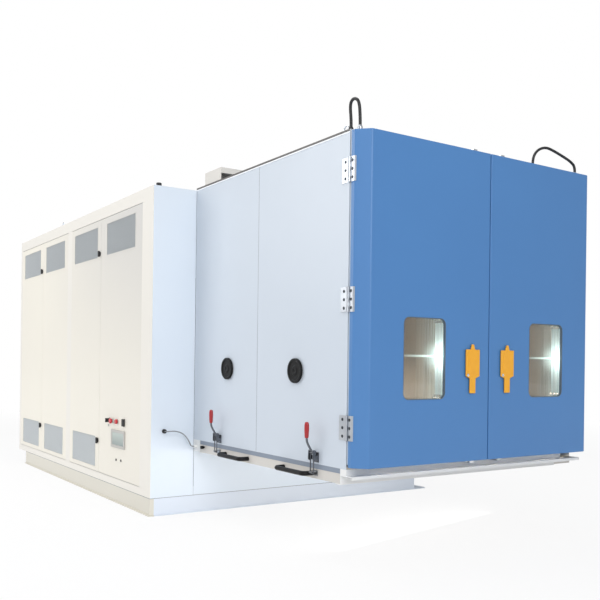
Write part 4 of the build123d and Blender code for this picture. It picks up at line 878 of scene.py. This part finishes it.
# Paddle handles. Cast zinc, coated in amber enamel, with a raised spine, a tapered grip, a
# tip above the spindle and a steel screw low on the body. A round steel rose lies behind.
amber, shader = new_material("amber_powder_coat", {"Roughness": 0.4, "IOR": 1.52})
wear = laid_on(amber, "ShaderNodeTexNoise", {"Scale": 28, "Detail": 6})
vary_tone(amber, shader, "#F5B22F", "#E9A226", wear.outputs["Fac"])
fine_grain(amber, shader, 700, 0.2, 0.0003)

handle_top = 1.109
paddle_back = door_face - 0.004
paddle_front = paddle_back - 0.0105
for side, hand in both_sides:
    x = side * handle_x
    paddle = start_block(f"{hand}_paddle", (x - 0.051, paddle_front, handle_top - 0.144),
                         (x + 0.051, paddle_back, handle_top))
    bpy.ops.object.mode_set(mode="EDIT")
    bpy.ops.mesh.select_mode(type="FACE")
    pick_faces(paddle, lambda c, n: n.z < -0.9)
    bpy.ops.mesh.extrude_region_move(TRANSFORM_OT_translate={"value": (0, 0, -0.012)})
    bpy.ops.transform.resize(value=(0.042 / 0.102, 1, 1))
    bpy.ops.mesh.extrude_region_move(TRANSFORM_OT_translate={"value": (0, 0, -0.08)})
    bpy.ops.mesh.select_all(action="DESELECT")
    for cut_x in (-0.015, 0.015):
        cut_through(paddle, (x + cut_x, 0, 0), (1, 0, 0))
    pick_faces(paddle, lambda c, n: n.z > 0.9 and abs(c.x - x) < 0.014)
    bpy.ops.mesh.extrude_region_move(TRANSFORM_OT_translate={"value": (0, 0, 0.028)})
    bpy.ops.transform.resize(value=(0.5, 1, 1))
    bpy.ops.mesh.select_all(action="SELECT")
    bpy.ops.mesh.dissolve_limited(angle_limit=0.01)
    bpy.ops.object.mode_set(mode="OBJECT")
    soften(paddle, 0.004, segments=3)
    spine = start_block(f"{hand}_paddle_spine",
                        (x - 0.036, paddle_front - 0.0012, handle_top - 0.130),
                        (x + 0.036, paddle_front + 0.003, handle_top - 0.014))
    bpy.ops.object.mode_set(mode="EDIT")
    bevel_edges(spine, 0.012, 4, lambda a, b: abs(a.y - b.y) > 0.003)
    bpy.ops.object.mode_set(mode="OBJECT")
    soften(spine, 0.001)
    finish_piece(spine, f"{hand}_handle", "handle_amber", amber)
    stem = start_round(f"{hand}_paddle_stem", (x, door_face + 0.0075, spindle_z), 0.009, 0.023, "Y")
    soften(stem, 0.0005)
    for part in (paddle, stem):
        finish_piece(part, f"{hand}_handle", "handle_amber", amber if part is paddle else plated)
    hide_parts(f"{hand}_handle")
    screw = start_round(f"{hand}_paddle_screw",
                        (x - 0.038, paddle_front + 0.0003, handle_top - 0.138),
                        0.0085, 0.0032, "Y", 24)
    press_faces(screw, lambda c, n: n.y < -0.9, (0.004, 0), (0.0004, -0.0012))
    soften(screw, 0.0005)
    finish_piece(screw, f"{hand}_handle", "handle_amber", plated)

# Hinge screws. Countersunk steel heads, three to a leaf, on the chamber's wall and on the
# doors' hinge edges. Each has a round recess pressed into its head.
hinge_heights = (0.704, 1.345, 1.992)
wall_leaf_y = -3.358
door_leaf_y = -3.416
screw_rows = (-0.042, 0, 0.042)
for side, hand in both_sides:
    for z in hinge_heights:
        for owner, y in (("root", wall_leaf_y), (f"{hand}_door", door_leaf_y)):
            for row, offset in enumerate(screw_rows):
                head = start_round(f"hinge_screw_{owner}_{round(z * 1000)}_{row}",
                                   (side * 0.8993, y, z + offset), 0.008, 0.0014, "X", 16)
                press_faces(head, lambda c, n: n.x * side > 0.9, (0.003, 0), (0.0003, -0.0004))
                finish_piece(head, owner, "bright_steel", screw_steel)

# Chamber lamps. Two vapour-tight strip lamps under the ceiling and one low on the left wall,
# with frosted covers in steel trays. They light the brushed walls that show in the windows.
lamp_glow, shader = new_material("frosted_lamp_cover_lit", {
    "Base Color": srgb("#FFFFFF"), "Emission Color": srgb("#FFF4E6"), "Emission Strength": 42,
    "Roughness": 0.4})
flutes = laid_on(lamp_glow, "ShaderNodeTexWave", {"Scale": 60})
bump_from(lamp_glow, shader, flutes.outputs["Fac"], 0.3, 0.001)
for name, low, high, drop in (
        ("front", (-0.45, -3.05, 2.005), (0.45, -2.95, 2.0485), (0, 0, -1)),
        ("rear", (-0.45, -2.45, 2.005), (0.45, -2.35, 2.0485), (0, 0, -1)),
        ("wall", (-0.7475, -2.98, 1.0), (-0.715, -2.86, 1.16), (1, 0, 0))):
    tray = start_block(f"chamber_lamp_tray_{name}", low, high)
    press_faces(tray, lambda c, n: n.dot(Vector(drop)) > 0.9, (0.008, -0.006))
    soften(tray, 0.002)
    finish_piece(tray, "root", "stainless", bright_stainless)
    if drop[2]:
        corners = ((low[0] + 0.012, low[1] + 0.012, low[2] - 0.004),
                   (high[0] - 0.012, high[1] - 0.012, low[2] + 0.008))
    else:
        corners = ((high[0] - 0.008, low[1] + 0.012, low[2] + 0.012),
                   (high[0] + 0.004, high[1] - 0.012, high[2] - 0.012))
    cover = start_block(f"chamber_lamp_cover_{name}", *corners)
    soften(cover, 0.003)
    finish_piece(cover, "root", "stainless", lamp_glow)

# Floor plate. A folded steel pan sprayed warm grey, hung between the rails under the chamber.
plate_paint = sprayed_paint("floor_plate_enamel", "#D5D1CB", "#C9C5BF", 0.5, 0.3)
dress(plate_paint, "floor_plate")

# Bow handles in black moulded nylon, and the plated steel catches that the clamps pull on. Both
# are fixed to the plate's skirt, so one finish changes to the other by place.
fittings, shader = new_material("plate_fittings_finish", {"IOR": 1.53, "Specular IOR Level": 0.22})
split = laid_on(fittings, "ShaderNodeSeparateXYZ")
clamp_places = (-2.04, -3.126)
near_catch = None
for centre in clamp_places:
    gap = add_node(fittings, "ShaderNodeMath", {"operation": "ADD", 1: -centre},
                   {0: split.outputs["Y"]})
    apart = add_node(fittings, "ShaderNodeMath", {"operation": "ABSOLUTE"}, {0: gap.outputs[0]})
    close = add_node(fittings, "ShaderNodeMath", {"operation": "LESS_THAN", 1: 0.0194},
                     {0: apart.outputs[0]})
    near_catch = close if near_catch is None else add_node(
        fittings, "ShaderNodeMath", {"operation": "MAXIMUM"},
        {0: near_catch.outputs[0], 1: close.outputs[0]})
vary_tone(fittings, shader, "#0D0D0E", "#A4A7AB", near_catch.outputs[0])
fittings.node_tree.links.new(near_catch.outputs[0], shader.inputs["Metallic"])
vary_gloss(fittings, shader, 0.42, 0.28, near_catch.outputs[0])
fine_grain(fittings, shader, 600, 0.15, 0.0003)
dress(fittings, "plate_fittings")

# Latch clamps. Pressed and plated steel levers with a red dipped vinyl grip, which tapers to a
# rounded end. The levers hang in brackets on the chamber's wall.
red_vinyl, shader = new_material("red_dipped_vinyl", {
    "Base Color": srgb("#A3161D"), "Roughness": 0.32, "IOR": 1.53, "Coat Weight": 0.2})
fine_grain(red_vinyl, shader, 400, 0.25, 0.0006, detail=3)
clamp_pivot = (-0.921, 0.530)
toggle_height = 0.556
cheek_outer = 0.0217
cheek_inner = 0.0177
grip_x = -0.957
grip_low = 0.634
for number, y in enumerate(clamp_places, start=1):
    plates = []
    for face in (-1, 1):
        cheek = start_block(f"clamp_cheek_{number}",
                            (clamp_pivot[0] - 0.011, y + face * cheek_inner, 0.5155),
                            (clamp_pivot[0] + 0.011, y + face * cheek_outer, 0.5705))
        bpy.ops.object.mode_set(mode="EDIT")
        bevel_edges(cheek, 0.0105, 6, lambda a, b: abs(a.y - b.y) > 0.003)
        bpy.ops.object.mode_set(mode="OBJECT")
        carve(cheek, start_round("pivot_bore", (clamp_pivot[0], y + face * 0.02, clamp_pivot[1]),
                                 0.00405, 0.02, "Y", 24))
        plates.append(cheek)
    bridge = start_block(f"clamp_bridge_{number}",
                         (clamp_pivot[0] - 0.011, y - cheek_outer, 0.565),
                         (clamp_pivot[0], y + cheek_outer, 0.570))
    toggle = start_round(f"clamp_toggle_{number}", (clamp_pivot[0], y, toggle_height), 0.004,
                         2 * cheek_outer, "Y", 24)
    bpy.ops.object.select_all(action="DESELECT")
    bpy.ops.mesh.primitive_circle_add(vertices=16, radius=0.006, fill_type="NGON",
                                      location=(-0.927, y, 0.567), rotation=(0, -0.55, 0))
    arm = bpy.context.object
    arm.name = f"clamp_arm_{number}"
    bpy.ops.object.transform_apply(location=True, rotation=True, scale=True)
    bpy.ops.object.mode_set(mode="EDIT")
    bpy.ops.mesh.select_all(action="SELECT")
    for move, turn in (((-0.022, 0, 0.036), 0.0), ((-0.006, 0, 0.014), 0.25),
                       ((-0.002, 0, 0.016), 0.3), ((0, 0, 0.016), 0.0)):
        bpy.ops.mesh.extrude_region_move(TRANSFORM_OT_translate={"value": move})
        if turn:
            shape = bmesh.from_edit_mesh(arm.data)
            picked = [v.co for v in shape.verts if v.select]
            middle = sum(picked, Vector()) / len(picked)
            bpy.ops.transform.rotate(value=-turn, orient_axis="Y", center_override=middle)
    bpy.ops.mesh.select_all(action="SELECT")
    bpy.ops.mesh.normals_make_consistent(inside=False)
    bpy.ops.object.mode_set(mode="OBJECT")
    bpy.ops.object.shade_smooth_by_angle(angle=math.radians(40))
    for part in (*plates, bridge, toggle):
        soften(part, 0.0008)
    for part in (*plates, bridge, toggle, arm):
        finish_piece(part, f"clamp_lever_{number}", "bright_steel", clamp_steel)
    grip = start_round(f"clamp_grip_{number}", (grip_x, y, grip_low + 0.042), 0.0125, 0.084,
                       "Z", 32)
    bpy.ops.object.mode_set(mode="EDIT")
    for height in (0.652, 0.680, 0.704):
        cut_through(grip, (0, 0, height), (0, 0, 1))
    bpy.ops.mesh.select_mode(type="VERT")
    shape = bmesh.from_edit_mesh(grip.data)
    for height, swell in ((grip_low, 0.8), (0.652, 0.92), (0.680, 1.04), (0.704, 1.0),
                          (0.718, 0.72)):
        for vertex in shape.verts:
            vertex.select = abs(vertex.co.z - height) < 0.001
        shape.select_flush_mode()
        bmesh.update_edit_mesh(grip.data)
        bpy.ops.transform.resize(value=(swell, swell, 1), center_override=(grip_x, y, height))
    bpy.ops.object.mode_set(mode="OBJECT")
    soften(grip, 0.004, segments=3)
    finish_piece(grip, f"clamp_lever_{number}", "bright_steel", red_vinyl)
    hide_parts(f"clamp_lever_{number}")

# Cable port plugs. Moulded silicone rubber, black, with a dished head, a raised rim and a small
# centre nipple, pushed into the stainless sleeves.
plug_rubber, shader = new_material("black_silicone_plug", {
    "Base Color": srgb("#0C0D0E"), "Roughness": 0.5, "IOR": 1.43, "Specular IOR Level": 0.3})
fine_grain(plug_rubber, shader, 350, 0.25, 0.0004, detail=3)
head_face = -chamber_half - 0.0023
port_height = 0.982
plug_radius = 0.068
core_radius = 0.0475
for number, y in ((1, -2.146), (2, -2.925)):
    plug = start_round(f"plug_body_{number}", (head_face - 0.007, y, port_height), plug_radius,
                       0.014, "X", 64)
    press_faces(plug, lambda c, n: n.x < -0.9, (0.012, 0), (0.004, -0.005), (0.024, 0),
                (0.004, 0.004), (0.012, 0), (0.003, -0.003))
    bpy.ops.object.mode_set(mode="EDIT")
    pick_faces(plug, lambda c, n: n.x > 0.9)
    bpy.ops.mesh.inset(thickness=plug_radius - core_radius)
    bpy.ops.mesh.extrude_region_move(TRANSFORM_OT_translate={"value": (0.1487, 0, 0)})
    bpy.ops.object.mode_set(mode="OBJECT")
    soften(plug, 0.003, segments=3, angle=30)
    finish_piece(plug, f"port_plug_{number}", "plug_rubber", plug_rubber)
    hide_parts(f"port_plug_{number}")
